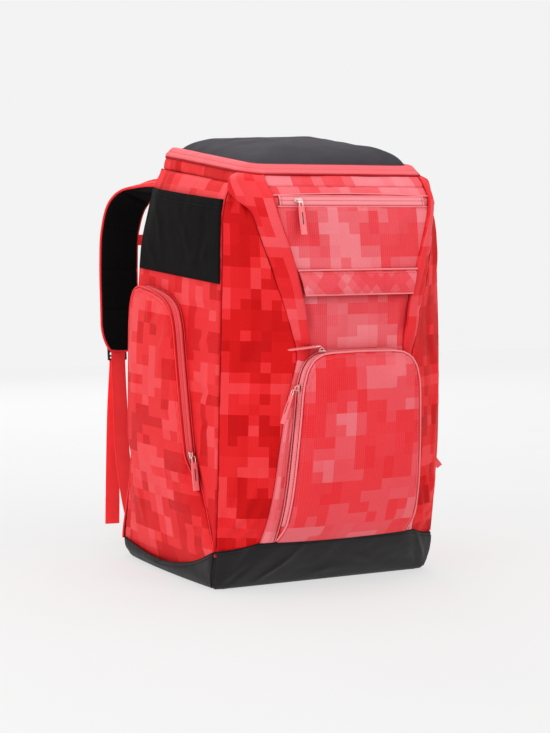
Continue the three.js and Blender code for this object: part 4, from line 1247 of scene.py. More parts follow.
# drop the run across the back edge
TOP_LINE, SIDE_LINE = 3, 13
back_run = lines[TOP_LINE, :, 1] > lines[TOP_LINE, :, 1].max() - 1.5
start = int(np.nonzero(back_run & ~np.roll(back_run, -1))[0][0]) + 1
kept = (start + np.arange((~back_run).sum())) % TAPE_COLUMNS
lines = lines[:, kept]
rings = lines.transpose(1, 0, 2)
rings = rings + Z_AXIS * (0.35 * value_noise(rings / (23.0, 23.0, 40.0), 51))[..., None]
uv = uv_grid(np.arange(len(lines)) * 1.2, arc_length(lines[TOP_LINE])[:, None])
finish(loft("mouth_tape", rings, M_RIM_TAPE, uv), TAPE, BODY, "lid_zip")
outward = unit((lines[12] - lines[TOP_LINE]) * (1, 1, 0))
for name, line, up, out in (("in", TOP_LINE, 1.0, 0.3), ("out", SIDE_LINE, 0.1, 1.0)):
    finish(stitch_row("mouth_thread_" + name, lines[line], up * Z_AXIS + out * outward,
                      M_THREAD_PALE), TAPE)

# painted shadow: a dark line under the mouth tape, where the tape shades the cloth
seam = rim_ring(600.6, 2.2, TAPE_COLUMNS)
seam = seam[seam[:, 1] < seam[:, 1].max() - 2.5]
gap = int(np.argmax(np.linalg.norm(np.diff(seam, axis=0), axis=1))) + 1
seam = np.vstack([seam[gap:], seam[:gap]])
finish(tube("mouth_seam", seam, 1.35, M_SEAM_SHADOW, sides=6), CAMO)

# ------------------------------------------------------------------ lid
LID_COLUMNS = 220
LID_CENTRE = np.array([0, -52.0])
LID_FOLDS = [  # path, height, width
    ([(-20, -150, 650), (10, -120, 662), (55, -100, 664)], 1.8, 8),
    ([(60, -160, 650), (66, -130, 658), (60, -95, 664)], 2.0, 6),
    ([(88, -150, 650), (84, -120, 658), (96, -80, 662)], -2.0, 7),
    ([(-100, 20, 655), (-60, -10, 664), (-20, -30, 667)], 1.6, 10),
    ([(-100, -60, 650), (-72, -70, 658), (-40, -60, 664)], -1.6, 8),
]
lid_edge = rim_loop(-11.2, LID_COLUMNS)[:, :2]
lid_edge[:, 1] = np.minimum(lid_edge[:, 1], 90.6)
radius = np.concatenate([np.linspace(0.02, 0.86, 32),
                         1.0 - 0.125 * (1 - np.linspace(0.0, 1.0, 12)) ** 1.6])[:, None]
flat = LID_CENTRE + (lid_edge - LID_CENTRE) * radius[..., None]
x, y = flat[..., 0], flat[..., 1]
# fuller to the right of the middle, lower towards the front
right = smooth01((x + 60) / 150)
dome = 25.0 * ((1 - radius**3.0) ** 0.85 * (1 - right) + (1 - radius**5.5) ** 0.72 * right)
dome = dome + 3.2 * (1 - radius**14)
lean = 0.97 + 0.04 * x / 130.0 - 0.0006 * np.maximum(0, -y - 60)
z = height(RIM_LEVEL, y) + 0.7 + dome * lean
points = np.dstack([flat, z])
wrinkle = 1.3 * soft(points * (1, 1, 0), scale=48.0, seed=61) * (1 - radius**6)
inset = (1 - radius) * np.linalg.norm(lid_edge - LID_CENTRE, axis=1)
around = np.arange(LID_COLUMNS) * 4.2
wrinkle = wrinkle + 1.5 * pucker(around, inset, pitch=17, reach=16, seed=63) * (1 - radius**30)
points[..., 2] += wrinkle + 1.6 * (1 - radius**30)
verts = np.vstack([points.reshape(-1, 3), [[*LID_CENTRE, points[0, :, 2].mean()]]])
faces = [face[::-1] for face in grid_faces(LID_COLUMNS, len(radius), wrap=True)]
faces += [(len(verts) - 1, i, (i + 1) % LID_COLUMNS) for i in range(LID_COLUMNS)]
uv = np.vstack([flat.reshape(-1, 2), [LID_CENTRE]]) / 1000
obj = fix_normals(mesh_object("lid_cloth", verts, faces, M_LID, uv))
verts = coords(obj)
verts[:, 2] += fold_field(verts, LID_FOLDS)
set_coords(obj, verts)
if obj.data.polygons[0].normal.z < 0:
    obj.data.flip_normals()
finish(lined(obj, 2.2), "black_fabric", "lid", "lid_panel")
binding = np.column_stack([lid_edge, height(RIM_LEVEL, lid_edge[:, 1]) + 1.6])
finish(tube("lid_binding", binding, 1.5, M_TAPE_DARK, closed=True), "black_fabric", "lid")

# ------------------------------------------------------------------ boot compartment doors
COVER = 2.0  # thickness of a door's cloth

# Edge of the cover: y, level, height off the body
COVER_EDGE = np.array([
    (-163, 50, 0.6), (-152, 84, 1.0), (-136, 122, 3.0), (-118, 156, 9.0), (-106, 178, 15.5),
    (-102, 192, 18.8), (-86.1, 263, 19.4), (-68, 340, 19.4), (-60, 375, 19.4), (-46, 399, 19.4),
    (-22, 411, 19.4), (20, 418, 19.4), (74, 421, 19.4), (94, 410, 19.4), (103, 385, 19.4),
    (104, 300, 19.4), (104, 196, 18.8), (105, 178, 15.5), (112, 156, 9.0), (124, 122, 3.0),
    (138, 80, 1.0), (149, 34, 0.6)])
# Height of the cover's middle by level
cover_middle = Curve((14, 0.9), (40, 5.0), (80, 10.0), (130, 16.0), (178, 20.6), (250, 24.2),
                     (330, 24.6), (395, 21.8), (421, 20.4))
COVER_FOLDS = [
    (2.0, 6, (-30, 404), (-22, 388), (-4, 372)), (-1.8, 5, (-4, 412), (0, 396), (14, 380)),
    (1.8, 6, (22, 414), (24, 398), (16, 376)), (1.6, 10, (-52, 378), (-30, 340), (-22, 300)),
    (1.3, 9, (-80, 262), (-50, 250), (-20, 262)), (-1.6, 8, (-92, 205), (-62, 214), (-30, 206)),
    (1.9, 8, (-112, 168), (-80, 158), (-40, 168)), (1.7, 9, (-126, 138), (-96, 118), (-60, 112)),
    (1.4, 10, (60, 180), (20, 166), (-30, 172)), (-1.5, 8, (-140, 96), (-108, 78), (-70, 74)),
    (1.6, 11, (96, 330), (70, 300), (64, 250)), (1.8, 10, (100, 150), (76, 110), (70, 60)),
]
# Profiles of the standing wall and its zip tape: out, off
BOOT_WALL = [(-2.2, -2.5), (0.0, -2.5), (0.25, 1.0), (0.1, 4), (0.0, 8), (0.1, 13), (0.0, 16.2),
             (-0.5, 17), (-1.5, 17), (-2.2, 16)]
BOOT_TAPE = [(0.15, 2.6), (1.0, 2.8), (1.35, 3.6), (1.45, 7.3), (1.25, 7.75), (0.45, 8.1),
             (1.25, 8.45), (1.45, 8.9), (1.35, 12.8), (1.0, 13.6), (0.15, 13.8)]
TAPE_FACE = 1.35  # how far the tape's face stands out from the wall
PIPING_OUT = 0.9
THREAD_INSET = 6.0

cover_height = edge_heights(COVER_EDGE)
cover_edge = rounded_path(COVER_EDGE[:, :2], 170)
foot_y = np.linspace(149, -163, 40)
cover_outline = np.vstack([cover_edge, np.column_stack([foot_y, base_top_side(foot_y) - 5])])
boot_wall = rounded_path(COVER_EDGE[2:-2, :2], 190)
boot_scale = np.maximum(0.12, (cover_height(boot_wall) - 2.3) / 17.1)


def boot_door(side, sign):
    surface = side_map(sign)
    folds = strokes(surface, COVER_FOLDS)
    door = "boot_door_" + side

    def blend(obj):
        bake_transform(obj)

    def lift(y, level):
        gap = edge_gap(y, level, cover_edge)
        above = np.maximum(0.0, level - (base_top_side(y) - 5))
        edge = cover_height(np.column_stack([y, level]))
        out = edge + (cover_middle(level) - edge) * (1 - np.exp(-gap / 20.0))
        out = out * smooth01((above + 3) / 30) + 0.4 * (1 - smooth01(above / 12))
        points = surface(y, level)
        relief = fold_field(points, folds) + 0.9 * soft(points, scale=58, seed=71)
        out = out + relief * smooth01(np.minimum(gap, above) / 9)
        gathers = pucker(y * 0.9 + level * 0.6, gap, pitch=13, reach=12, seed=73)
        out = out + 1.1 * gathers * smooth01(gap / 4)
        out = out - 1.5 * bell(gap, 1.6) - 0.7 * bell(gap - THREAD_INSET, 1.2) * (level > 150)
        return out + 0.9 * pucker(y, above, pitch=12, reach=10, seed=75) * smooth01(above / 4)

    obj = patch("boot_cover_" + side, surface, cover_outline, lift, M_SIDE, flip=(sign < 0),
                uv_shift=900)
    lined(obj, COVER)
    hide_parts(door)
    blend(obj)

    # piping and stitching along the cover's edge
    run = cover_edge[cover_edge[:, 1] > 150]
    path = on(surface, run + path_normals(run) * PIPING_OUT, cover_height(run) - 1.5)
    obj = tube("boot_piping_" + side, path, 1.35, M_PIPE_RED)
    blend(obj)
    run = cover_edge[cover_edge[:, 1] > 196]
    run = run - path_normals(run) * THREAD_INSET
    finish(stitch_row("boot_thread_" + side, on(surface, run, lift(*run.T)), sign * X_AXIS,
                      M_THREAD, lift=0.3), TAPE, door)

    # standing wall, the zip tape on it, and the seam at its foot
    finish(wall_strip("boot_wall_" + side, surface, boot_wall, BOOT_WALL, M_SIDE, boot_scale),
           CAMO, BODY, "boot_gusset_" + side)
    high = boot_wall[:, 1] > 166
    run, scale = boot_wall[high], boot_scale[high]
    finish(wall_strip("boot_tape_" + side, surface, run, BOOT_TAPE, M_ZIP_SIDE, scale),
           TAPE, BODY, "boot_zip_" + side)
    normal = path_normals(run)
    for row, off in (("a", 3.9), ("b", 12.6)):
        finish(stitch_row("boot_tape_thread_%s_%s" % (row, side),
                          on(surface, run + normal * TAPE_FACE, off * scale),
                          np.column_stack([np.zeros(len(run)), normal]), M_THREAD,
                          pitch=3.6, lift=0.1), TAPE)
    foot = rounded_path(COVER_EDGE[:-1, :2], 240)
    foot = foot + path_normals(foot) * 1.5
    foot = foot[foot[:, 1] > base_top_side(foot[:, 0]) + 3.5]
    finish(tube("boot_seam_" + side, on(surface, foot, 0.45), 1.0, M_PIPE_RED, sides=6), CAMO)


# ------------------------------------------------------------------ stretch pockets
STRETCH_LOW, STRETCH_TOP = 444, 562
STRETCH_TALL = STRETCH_TOP - STRETCH_LOW
STRETCH_THREAD = 549.8
STRETCH_FOLDS = [
    (1.5, 9, (60, 552), (30, 520), (20, 480)), (1.3, 9, (-20, 548), (-60, 515), (-90, 470)),
    (-1.3, 9, (-120, 552), (-126, 510), (-110, 462)), (1.2, 9, (90, 500), (60, 470), (40, 452)),
    (1.2, 10, (-150, 500), (-120, 478), (-60, 452)),
]


def stretch_place(part, level):
    """y and outward offset at a fraction of the way from the back edge to the side seam."""
    start, end = back_y(level) - 3, seam_y(level) + 3.4
    rise = (level - STRETCH_LOW) / STRETCH_TALL
    off = 0.9 + 7.4 * np.sin(np.pi * part) ** 0.85 * rise**0.75
    return start + (end - start) * part, off


def stretch_pocket(side, sign):
    """Knit pocket on the upper side."""
    surface = side_map(sign)
    part = np.linspace(0, 1, 84)
    rise = np.concatenate([np.linspace(0, 0.90, 26), np.linspace(0.905, 1.0, 14)])[:, None]
    level = STRETCH_LOW + STRETCH_TALL * rise
    y, off = stretch_place(part, level)
    points = surface(y, level, off)
    wrinkle = 0.9 * soft(points * (1, 1, 0.5), scale=34, seed=81)
    wrinkle = wrinkle + fold_field(points, strokes(surface, STRETCH_FOLDS))
    edge = np.minimum(np.minimum(part, 1 - part) * 290, rise * 118)
    off = off + wrinkle * smooth01(edge / 14)
    # thicker hem above its stitched line, raised edge where it is sewn down
    off = off + np.where(level > 549.5, 0.75, 0.0) - 0.8 * bell(level - 549.2, 0.8)
    off = off + 0.9 * bell(edge - 2.0, 1.6) * (edge < 6)
    off = np.where(edge < 0.4, 0.2, off)
    obj = grid_object("stretch_cloth_" + side, surface(y, level, off), M_KNIT,
                      uv_grid(y, level), flip=(sign < 0))
    finish(solidify(obj, 1.2), "stretch_fabric", BODY, "stretch_pocket_" + side)
    level = np.full(120, STRETCH_THREAD)
    y, off = stretch_place(np.linspace(0.02, 0.98, 120), level)
    finish(stitch_row("stretch_thread_" + side, surface(y, level, off + 0.75), sign * X_AXIS,
                      M_THREAD_DARK, lift=0.5), "stretch_fabric")


for side, sign in SIDES:
    boot_door(side, sign)
    stretch_pocket(side, sign)

# ------------------------------------------------------------------ front pocket
# Edge of the pocket, left half then middle: x, level, height off the front
FRONT_HALF = [
    (-108, 77, 5.0), (-106.5, 92, 15.0), (-105.4, 104, 19.5), (-102.9, 150, 21.2),
    (-100.3, 200, 21.4), (-97.6, 250, 21.4), (-95, 300, 21.4), (-89, 325, 21.4),
    (-79, 340, 21.4), (-62, 348.5, 21.4), (0, 350, 21.4)]
FRONT_EDGE = np.array(FRONT_HALF + [(-x, level, off) for x, level, off in FRONT_HALF[-2::-1]])
FRONT_FOOT = 74.0
FRONT_STAND = 22.0  # height at which the pocket's folds are placed
front_middle = Curve((70, 5.5), (80, 13.5), (95, 22.0), (140, 28.0), (200, 30.5), (260, 30.5),
                     (315, 27.5), (350, 22.6))
POCKET_FOLDS = [
    (1.6, 9, (-84, 326), (-70, 300), (-64, 262)), (1.2, 10, (70, 330), (58, 312), (20, 300)),
    (2.0, 8, (88, 130), (70, 108), (40, 96)), (-1.6, 6, (96, 112), (84, 96), (60, 86)),
    (1.6, 8, (-96, 128), (-70, 104), (-40, 94)), (1.2, 8, (-20, 104), (10, 94), (40, 100)),
    (1.2, 12, (80, 250), (70, 200), (84, 150)), (1.3, 11, (-92, 210), (-72, 180), (-78, 140)),
]
# Profiles of the standing wall and its zip tape: out, off
FRONT_WALL = [(-2.2, -1.0), (0.0, -1.0), (0.2, 3.0), (0.0, 8), (0.1, 14), (0.0, 18.2),
              (-0.5, 19), (-1.5, 19), (-2.2, 18.2)]
FRONT_TAPE = [(0.15, 3.4), (1.0, 3.6), (1.35, 4.4), (1.45, 8.4), (1.25, 8.85), (0.45, 9.2),
              (1.25, 9.55), (1.45, 10.0), (1.35, 13.8), (1.0, 14.6), (0.15, 14.8)]

front_height = edge_heights(FRONT_EDGE)
front_edge = rounded_path(FRONT_EDGE[:, :2], 220)
pocket_folds = strokes(front_map, POCKET_FOLDS, off=FRONT_STAND)


def pocket_lift(x, level):
    gap = edge_gap(x, level, front_edge)
    above = np.maximum(0.0, level - FRONT_FOOT)
    edge = front_height(np.column_stack([x, level]))
    out = edge + (front_middle(level) - edge) * (1 - np.exp(-gap / 24.0))
    points = front_map(x, level, FRONT_STAND)
    relief = fold_field(points, pocket_folds) + 1.0 * soft(points, scale=66, seed=91)
    out = out + relief * smooth01(np.minimum(gap, above) / 9)
    gathers = pucker(x * 0.8 + level * 0.7, gap, pitch=15, reach=12, seed=93)
    out = out + 0.8 * gathers * smooth01(gap / 4)
    out = out + 1.2 * pucker(x, above, pitch=14, reach=11, seed=95) * smooth01(above / 4)
    return out - 1.4 * bell(gap, 1.6) - 0.6 * bell(gap - THREAD_INSET, 1.2) * (level > 104)


def blend_front(obj):
    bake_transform(obj)


x = np.linspace(108, -108, 30)
bottom = np.column_stack([x, FRONT_FOOT - 2.5 * np.cos(x / 108 * math.pi / 2)])
obj = patch("front_cover", front_map, np.vstack([front_edge, bottom]), pocket_lift, M_POCKET)
lined(obj, COVER)
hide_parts("front_door")
blend_front(obj)
normal = path_normals(front_edge)
path = on(front_map, front_edge + normal * PIPING_OUT, front_height(front_edge) - 1.4)
obj = tube("front_piping", path, 1.4, M_PIPE)
blend_front(obj)
run = (front_edge - normal * THREAD_INSET)[front_edge[:, 1] > 108]
finish(stitch_row("front_thread", on(front_map, run, pocket_lift(*run.T)), -Y_AXIS,
                  M_THREAD_PALE, lift=0.3), TAPE, "front_door")

scale = np.maximum(0.12, (front_height(front_edge) - 2.3) / 19.1)
finish(wall_strip("front_wall", front_map, front_edge, FRONT_WALL, M_POCKET, scale),
       CAMO, BODY, "front_gusset_wall")
high = front_edge[:, 1] > 99
run, scale = front_edge[high], scale[high]
finish(wall_strip("front_tape", front_map, run, FRONT_TAPE, M_ZIP, scale),
       TAPE, BODY, "front_zip")
run_normal = path_normals(run)
for row, off in (("a", 4.8), ("b", 13.4)):
    finish(stitch_row("front_tape_thread_" + row,
                      on(front_map, run + run_normal * TAPE_FACE, off * scale),
                      np.insert(run_normal, 1, 0, axis=1), M_THREAD_PALE,
                      pitch=3.6, lift=0.1), TAPE)
path = on(front_map, front_edge + normal * 1.6, 0.5)
finish(tube("front_seam", path, 1.1, M_PIPE, sides=6), CAMO)

# ------------------------------------------------------------------ upper front pocket, its zip
UPPER_FOLDS = [
    (1.2, 10, (-96, 548), (-70, 520), (-60, 480)), (1.2, 10, (92, 548), (66, 525), (60, 486)),
    (0.9, 12, (20, 552), (10, 520), (24, 486)),
]
UPPER_ZIP = 566.0
# Profile of the zip tape with its slit in the middle: level from UPPER_ZIP, off
UPPER_TAPE = np.array([(-7.4, 0.2), (-7.2, 1.5), (-6.4, 1.9), (-1.0, 2.0), (-0.5, 1.8),
                       (0.0, 0.9), (0.5, 1.8), (1.0, 2.0), (6.4, 1.9), (7.2, 1.5), (7.4, 0.2)])

part, rise = np.linspace(-1, 1, 96), np.linspace(0, 1, 60)[:, None]
level = 441 + (558.5 - 441) * rise
across = (front_x(level) - 1.5) * part
off = 0.8 + 3.6 * (1 - part * part) * (1 - 0.65 * rise) + 1.6
points = front_map(across, level, off)
folds = strokes(front_map, UPPER_FOLDS, off=3.0)
below = (1 - rise) * 117
off = off + 0.7 * soft(points, scale=60, seed=101)
off = off + fold_field(points, folds) * smooth01(below / 14)
off = off + 0.8 * pucker(across, below, pitch=13, reach=9, seed=103) * smooth01(below / 3)
off = off - 1.3 * bell(below, 2.0)
obj = grid_object("upper_cloth", front_map(across, level, off), M_FRONT,
                  uv_grid(across + 1300, level))
finish(lined(obj, SHELL), CAMO, BODY, "upper_pocket")

part = np.linspace(-1, 1, 120)
rise, off = UPPER_TAPE.T[..., None]
points = front_map((front_x(UPPER_ZIP) - 9) * part, UPPER_ZIP + rise, off + 0.3)
obj = grid_object("upper_tape", points, M_ZIP, uv_grid(rise, part * 118))
finish(solidify(obj, 0.8), TAPE, BODY, "upper_zip")
TAPE_NORMAL = (0, -1.0, 0.2)
for row, rise in (("a", -6.0), ("b", 6.0)):
    path = across_front(UPPER_ZIP + rise, 2.3, inset=11, count=120, width_at=UPPER_ZIP)
    finish(stitch_row("upper_tape_thread_" + row, path, TAPE_NORMAL, M_THREAD, lift=0.1), TAPE)
for name, sign in (("l", -1), ("r", 1)):
    level = np.linspace(UPPER_ZIP - 6, UPPER_ZIP + 6, 12)
    path = front_map(sign * (front_x(UPPER_ZIP) - 12.5), level, 2.4)
    finish(stitch_row("upper_tape_end_" + name, path, TAPE_NORMAL, M_THREAD,
                      pitch=2.6, length=2.0, lift=0.1), TAPE)
# welts above and below the zip
level = 576.0 - 3.0 * part**2
path = front_map((front_x(level) - 0.5) * part, level, 0.9)
finish(tube("upper_welt", path, 1.25, M_PIPE), CAMO)
path = across_front(557.8, 2.0, inset=3, count=90)
finish(tube("upper_welt_low", path, 1.1, M_PIPE), CAMO)

# ------------------------------------------------------------------ flap band
# Profile as (level, off): the outer face, the lower edge, then the inner face
flap_profile = []
for part in np.linspace(0, 1, 16):
    off = 7.4 + 3.4 * part + 2.2 * math.sin(math.pi * min(1, part * 1.02)) ** 0.8
    flap_profile.append((468 - 33.5 * part, off - (1.2 if part < 0.07 else 0)))
flap_profile += [(433.6, 10.4), (433.0, 9.2), (433.4, 8.2), (435.5, 7.9)]
flap_profile += [(440, 8.4), (450, 7.8), (460, 6.4), (466.5, 5.2)]
flap_profile = np.array(flap_profile)
level, off = flap_profile.T[..., None]
part = np.linspace(-1, 1, 100)
across = (front_x(level) - 3.2) * part
wrinkle = 0.55 * ripple(across / 17, level / 24, 0.0, 111)
wrinkle = wrinkle + 0.5 * ripple(across / 7, level / 60, 0.0, 112) * np.where(level > 440, 1, 0.3)
points = front_map(across, level, off + wrinkle * smooth01((1 - np.abs(part)) * 12))
uv = uv_grid((part * 100)[:, None], arc_length(flap_profile))
finish(loft("flap_cloth", points.transpose(1, 0, 2), M_FLAP, uv), CAMO, "front_flap", "front_flap")
path = across_front(468.6, 6.6, inset=2.6, count=110)
finish(tube("flap_welt_top", path, 1.5, M_PIPE), CAMO)
path = across_front(433.6, 10.0, inset=3.4, count=110, width_at=434)
finish(tube("flap_welt_low", path, 1.35, M_PIPE), CAMO, "front_flap")
for row, level, off in (("a", 464.0, 9.1), ("b", 437.6, 12.6)):
    path = across_front(level, off, inset=6, count=110)
    finish(stitch_row("flap_thread_" + row, path, -Y_AXIS, M_THREAD_PALE, lift=0.1),
           CAMO, "front_flap")


# ------------------------------------------------------------------ padded ribs
def corner_map(sign, across, level, off):
    """Rib surface for across >= 0, gusset surface below 0, normals turned smoothly between."""
    rib, gusset_ = rib_map[sign], gusset_map[sign]
    level = np.broadcast_to(level, across.shape)
    on_rib = np.maximum(across, 0)
    on_gusset = gusset_.width(level) + np.minimum(across, 0)
    rib_point, gusset_point = rib(on_rib, level), gusset_(on_gusset, level)
    base = np.where((across >= 0)[:, None], rib_point, gusset_point)
    share = smooth01((across + 11) / 22)[:, None]
    normal = unit((rib(on_rib, level, 1.0) - rib_point) * share
                  + (gusset_(on_gusset, level, 1.0) - gusset_point) * (1 - share))
    return base + normal * off[:, None]


def padded_rib(side, sign):
    """Roll over the ridge beside the front panel; its top spreads over the gusset."""
    levels = np.concatenate([np.linspace(338, 540, 90), np.linspace(543, 603, 36)])
    angle = np.linspace(0, math.pi, 17)
    over = 0.5 - 0.5 * np.cos(angle)
    under = np.linspace(1, 0, 6)[1:-1]
    rows = []
    for level in levels:
        grow = smooth01((level - 338) / 40)
        top = 1 - smooth01((level - 594.5) / 8)
        hood = smooth01((level - 540) / 44)
        start = -2.2 - (gusset_map[sign].width(level) - 4.0) * hood**1.6
        end = rib_map[sign].width(level) + (2.5 + 2.5 * grow)
        tall = (2.0 + 9.0 * grow) * (0.22 + 0.78 * top)
        low = -3.6 + (9.6 - 4.5 * (1 - top)) * min(1.0, hood * 2.2) * (0.35 + 0.65 * top)
        off = low * (1 - over) ** 2 - 1.2 * over
        off = off + tall * (np.sin(angle) ** 0.58) * (0.82 + 0.18 * over)
        off_under = -2.6 + (low + 2.6) * 0.75 * (1 - under) ** 1.2
        across = start + (end - start) * np.concatenate([over, under])
        rows.append(corner_map(sign, across, level, np.concatenate([off, off_under])))
    rings = np.array(rows)
    # uv runs from the rib's front edge, along its crown
    around = np.linalg.norm(np.diff(rings, axis=1), axis=2).cumsum(1)
    around = np.insert(around, 0, 0, axis=1)
    uv = uv_grid(around - around[:, 16:17], 0.0) + (0.5, 0)
    noise = 1.7 * soft(rings * (1, 1, 0.8), scale=30, seed=121)
    x, y, z = np.moveaxis(rings, -1, 0)
    noise = noise + 1.1 * ripple(z / 13, x / 40, y / 40, 122)
    uv[..., 1] = arc_length(rings[:, 12])[:, None] / 1000
    outer_face = np.concatenate([np.sin(np.linspace(0.25, math.pi, 17)), [0.0] * 4])
    rings = rings + np.array([sign * 0.35, -0.94, 0]) * (noise * outer_face)[..., None]
    obj = loft("rib_cloth_" + side, rings, M_RIB, uv)
    finish(subdivide(obj), CAMO, BODY, "front_rib_" + side)


for side, sign in SIDES:
    padded_rib(side, sign)

# narrow strips beside the front panel
for side, sign in SIDES:
    level = np.linspace(60, PANEL_TOP, 160)[:, None]
    part = np.linspace(0, 1, 12)
    across = rib_map[sign].width(level) * part
    lift = 1.2 * np.sin(np.pi * part) - 1.4 * bell(across, 2.2) - 0.4
    obj = grid_object("front_edge_cloth_" + side, rib_map[sign](across, level, lift), M_FRONT,
                      uv_grid(across + 130, level), flip=(sign > 0))
    finish(lined(obj, SHELL), CAMO)

# ------------------------------------------------------------------ base
# Columns on each of the eight walls, from the back one, in the order of corners()
WALL_COLUMNS = (90, 90, 36, 10, 64, 10, 36, 90)
WALL = np.repeat(np.arange(8), WALL_COLUMNS)
PART = np.concatenate([np.linspace(0, 1, n, endpoint=False) for n in WALL_COLUMNS])
COLUMNS = len(WALL)
FORWARD = np.where(WALL < 4, PART, 1 - PART)  # fraction of the wall, from its rear end
ON_SIDE = (WALL == 1) | (WALL == 7)
SIDE_BULGE = np.where(ON_SIDE, np.sin(np.pi * FORWARD**0.9) ** 0.8, 0.0)
BASE_ROWS = ((0.0, -16.0), (0.0, -8.0), (0.3, -3.0), (1.5, -0.6), (4.0, 1.0), (8.0, 1.7))  # z, off
base_top = np.select(
    [WALL == 0, ON_SIDE, (WALL == 2) | (WALL == 6), (WALL == 3) | (WALL == 5)],
    [27.0, skirt_side(FORWARD), 57 + 13 * FORWARD - 3.0 * np.sin(np.pi * FORWARD),
     70 + 2 * FORWARD], 72.0)
base_top = smooth_loop(base_top, 6) + 2.2
GUSSET_BASE_FOLDS = [
    (-2.6, 2.6, (-1, 62), (1, 40), (0, 16), (2, 5)), (2.2, 6.0, (8, 8), (26, 26), (44, 48), (52, 66)),
    (-1.6, 5.0, (16, 6), (36, 24), (58, 44)),
]
SIDE_BASE_FOLDS = [(1.6, 6.0, (-140, 8), (-100, 16), (-40, 14))]
FRONT_BASE_FOLDS = [
    (3.6, 4.5, (-122, 5), (-106, 22), (-84, 40), (-62, 68)),
    (1.4, 9, (90, 12), (60, 34), (20, 44)), (1.2, 9, (-30, 10), (0, 24), (40, 22)),
]


def base_ring(level, off, full=True):
    """Rounded level curve, one level and offset per column, and its normals.

    A full ring is rounder and swells outwards on the sides below level 44."""
    level = np.broadcast_to(np.asarray(level, float), COLUMNS)
    ends = corners(level)
    index = np.arange(COLUMNS)
    start, end = ends[WALL, index], np.roll(ends, -1, 0)[WALL, index]
    points = start + (end - start) * PART[:, None]
    low = smooth01((44.0 - level) / 40.0) * full
    points[:, 0] += np.sign(points[:, 0]) * SIDE_BULGE * 7.5 * low
    points = smooth_loop(points, 14)
    for _ in range(12):
        points = points + (smooth_loop(points) - points) * low[:, None]
    tangent = unit(np.roll(points, -1, 0) - np.roll(points, 1, 0))
    normal = np.column_stack([tangent[:, 1], -tangent[:, 0]])
    for _ in range(10):
        normal = unit(smooth_loop(normal))
    return points + normal * np.asarray(off).reshape(-1, 1), normal


around = arc_length(base_ring(30.0, 0.0, full=False)[0])
rows, uv_rows = [], []
for z, off in BASE_ROWS:
    points, _ = base_ring(max(z, 0.5), off)
    rows.append(np.column_stack([points, np.full(COLUMNS, z)]))
    uv_rows.append(np.full(COLUMNS, z + off))
for part in np.concatenate([np.linspace(0.1, 0.9, 22), [0.93, 0.955, 0.975, 0.99, 1.0]]):
    level = 8.0 + (base_top - 8.0) * part
    off = 1.8 + 1.4 * math.sin(math.pi * part) ** 0.8
    if part > 0.92:
        # the top edge turns in towards the panels
        off = off * (1 - ((part - 0.92) / 0.08) ** 2 * 0.9)
    plain_ring = np.column_stack([base_ring(level, 0.0, full=False)[0], level])
    wrinkle = 1.1 * soft(plain_ring, scale=46, seed=131)
    wrinkle = wrinkle + pucker(around, (1 - part) * base_top, pitch=21, reach=14, seed=133)
    ends = smooth01((1 - part) * 5) * smooth01(part * 4)
    points, _ = base_ring(level, off + wrinkle * ends)
    rows.append(np.column_stack([points, level]))
    uv_rows.append(level)
points = np.array(rows)
folds = strokes(front_map, FRONT_BASE_FOLDS)
for sign in (-1, 1):
    folds += strokes(gusset_map[sign], GUSSET_BASE_FOLDS, off=1.0)
    folds += strokes(side_map(sign), SIDE_BASE_FOLDS)
outward = unit((points + (0, 10, 0)) * (1, 1, 0))
depth = fold_field(points, folds) * smooth01((points[..., 2] - 1) / 8)
obj = grid_object("base_cloth", points + outward * depth[..., None], M_BASE,
                  uv_grid(around, np.array(uv_rows)), wrap=True)
finish(solidify(obj, 1.8), "coated_base", BODY, "base_skirt")
level = base_top - 1.5
path = np.column_stack([base_ring(level, 1.0)[0], level])
finish(tube("base_binding", path, 1.15, M_TAPE_DARK, sides=6, closed=True), "coated_base")
level = base_top - 6.5
points, normal = base_ring(level, 3.1)
stitched = WALL >= 1
finish(stitch_row("base_thread", np.column_stack([points, level])[stitched],
                  np.column_stack([normal, np.zeros(COLUMNS)])[stitched], M_THREAD_DARK,
                  lift=0.2), "coated_base")
for side, wall in (("left", 7), ("right", 2)):
    column = int(np.argmax((WALL == wall) & (PART == 0.0)))
    path = np.array([[*base_ring(level, 2.3)[0][column], level]
                     for level in np.linspace(3, float(base_top[column]) - 2.0, 24)])
    finish(tube("base_seam_" + side, path, 0.9, M_TAPE_DARK, sides=6), "coated_base")

# ------------------------------------------------------------------ back
level = np.linspace(20, 585.4, 150)[:, None]
half = back_x(level) - 0.4
across = half * np.linspace(-1, 1, 90)
edge = half - np.abs(across)
lift = 0.8 * soft(back_map(across, level), scale=60, seed=141) * smooth01(edge / 12) + 0.4
lift = lift + 0.9 * bell(edge - 6.0, 3.0) - 1.6 * bell(edge, 1.8) - 0.8 * bell(edge - 12.0, 1.2)
obj = grid_object("back_cloth", back_map(across, level, lift), M_MESH, uv_grid(across, level),
                  flip=True)
finish(lined(obj, 5.0), "back_mesh", BODY, "back_panel")
for side, sign in SIDES:
    level = np.linspace(26, 586, 160)
    path = back_map(sign * (back_x(level) + 0.6), level, 0.6)
    finish(tube("back_piping_" + side, path, 1.9, M_PIPE_RED), CAMO)

PAD_FRAMES = 16
PAD_SWELL = 6.0  # most a vertex may move in the simulation


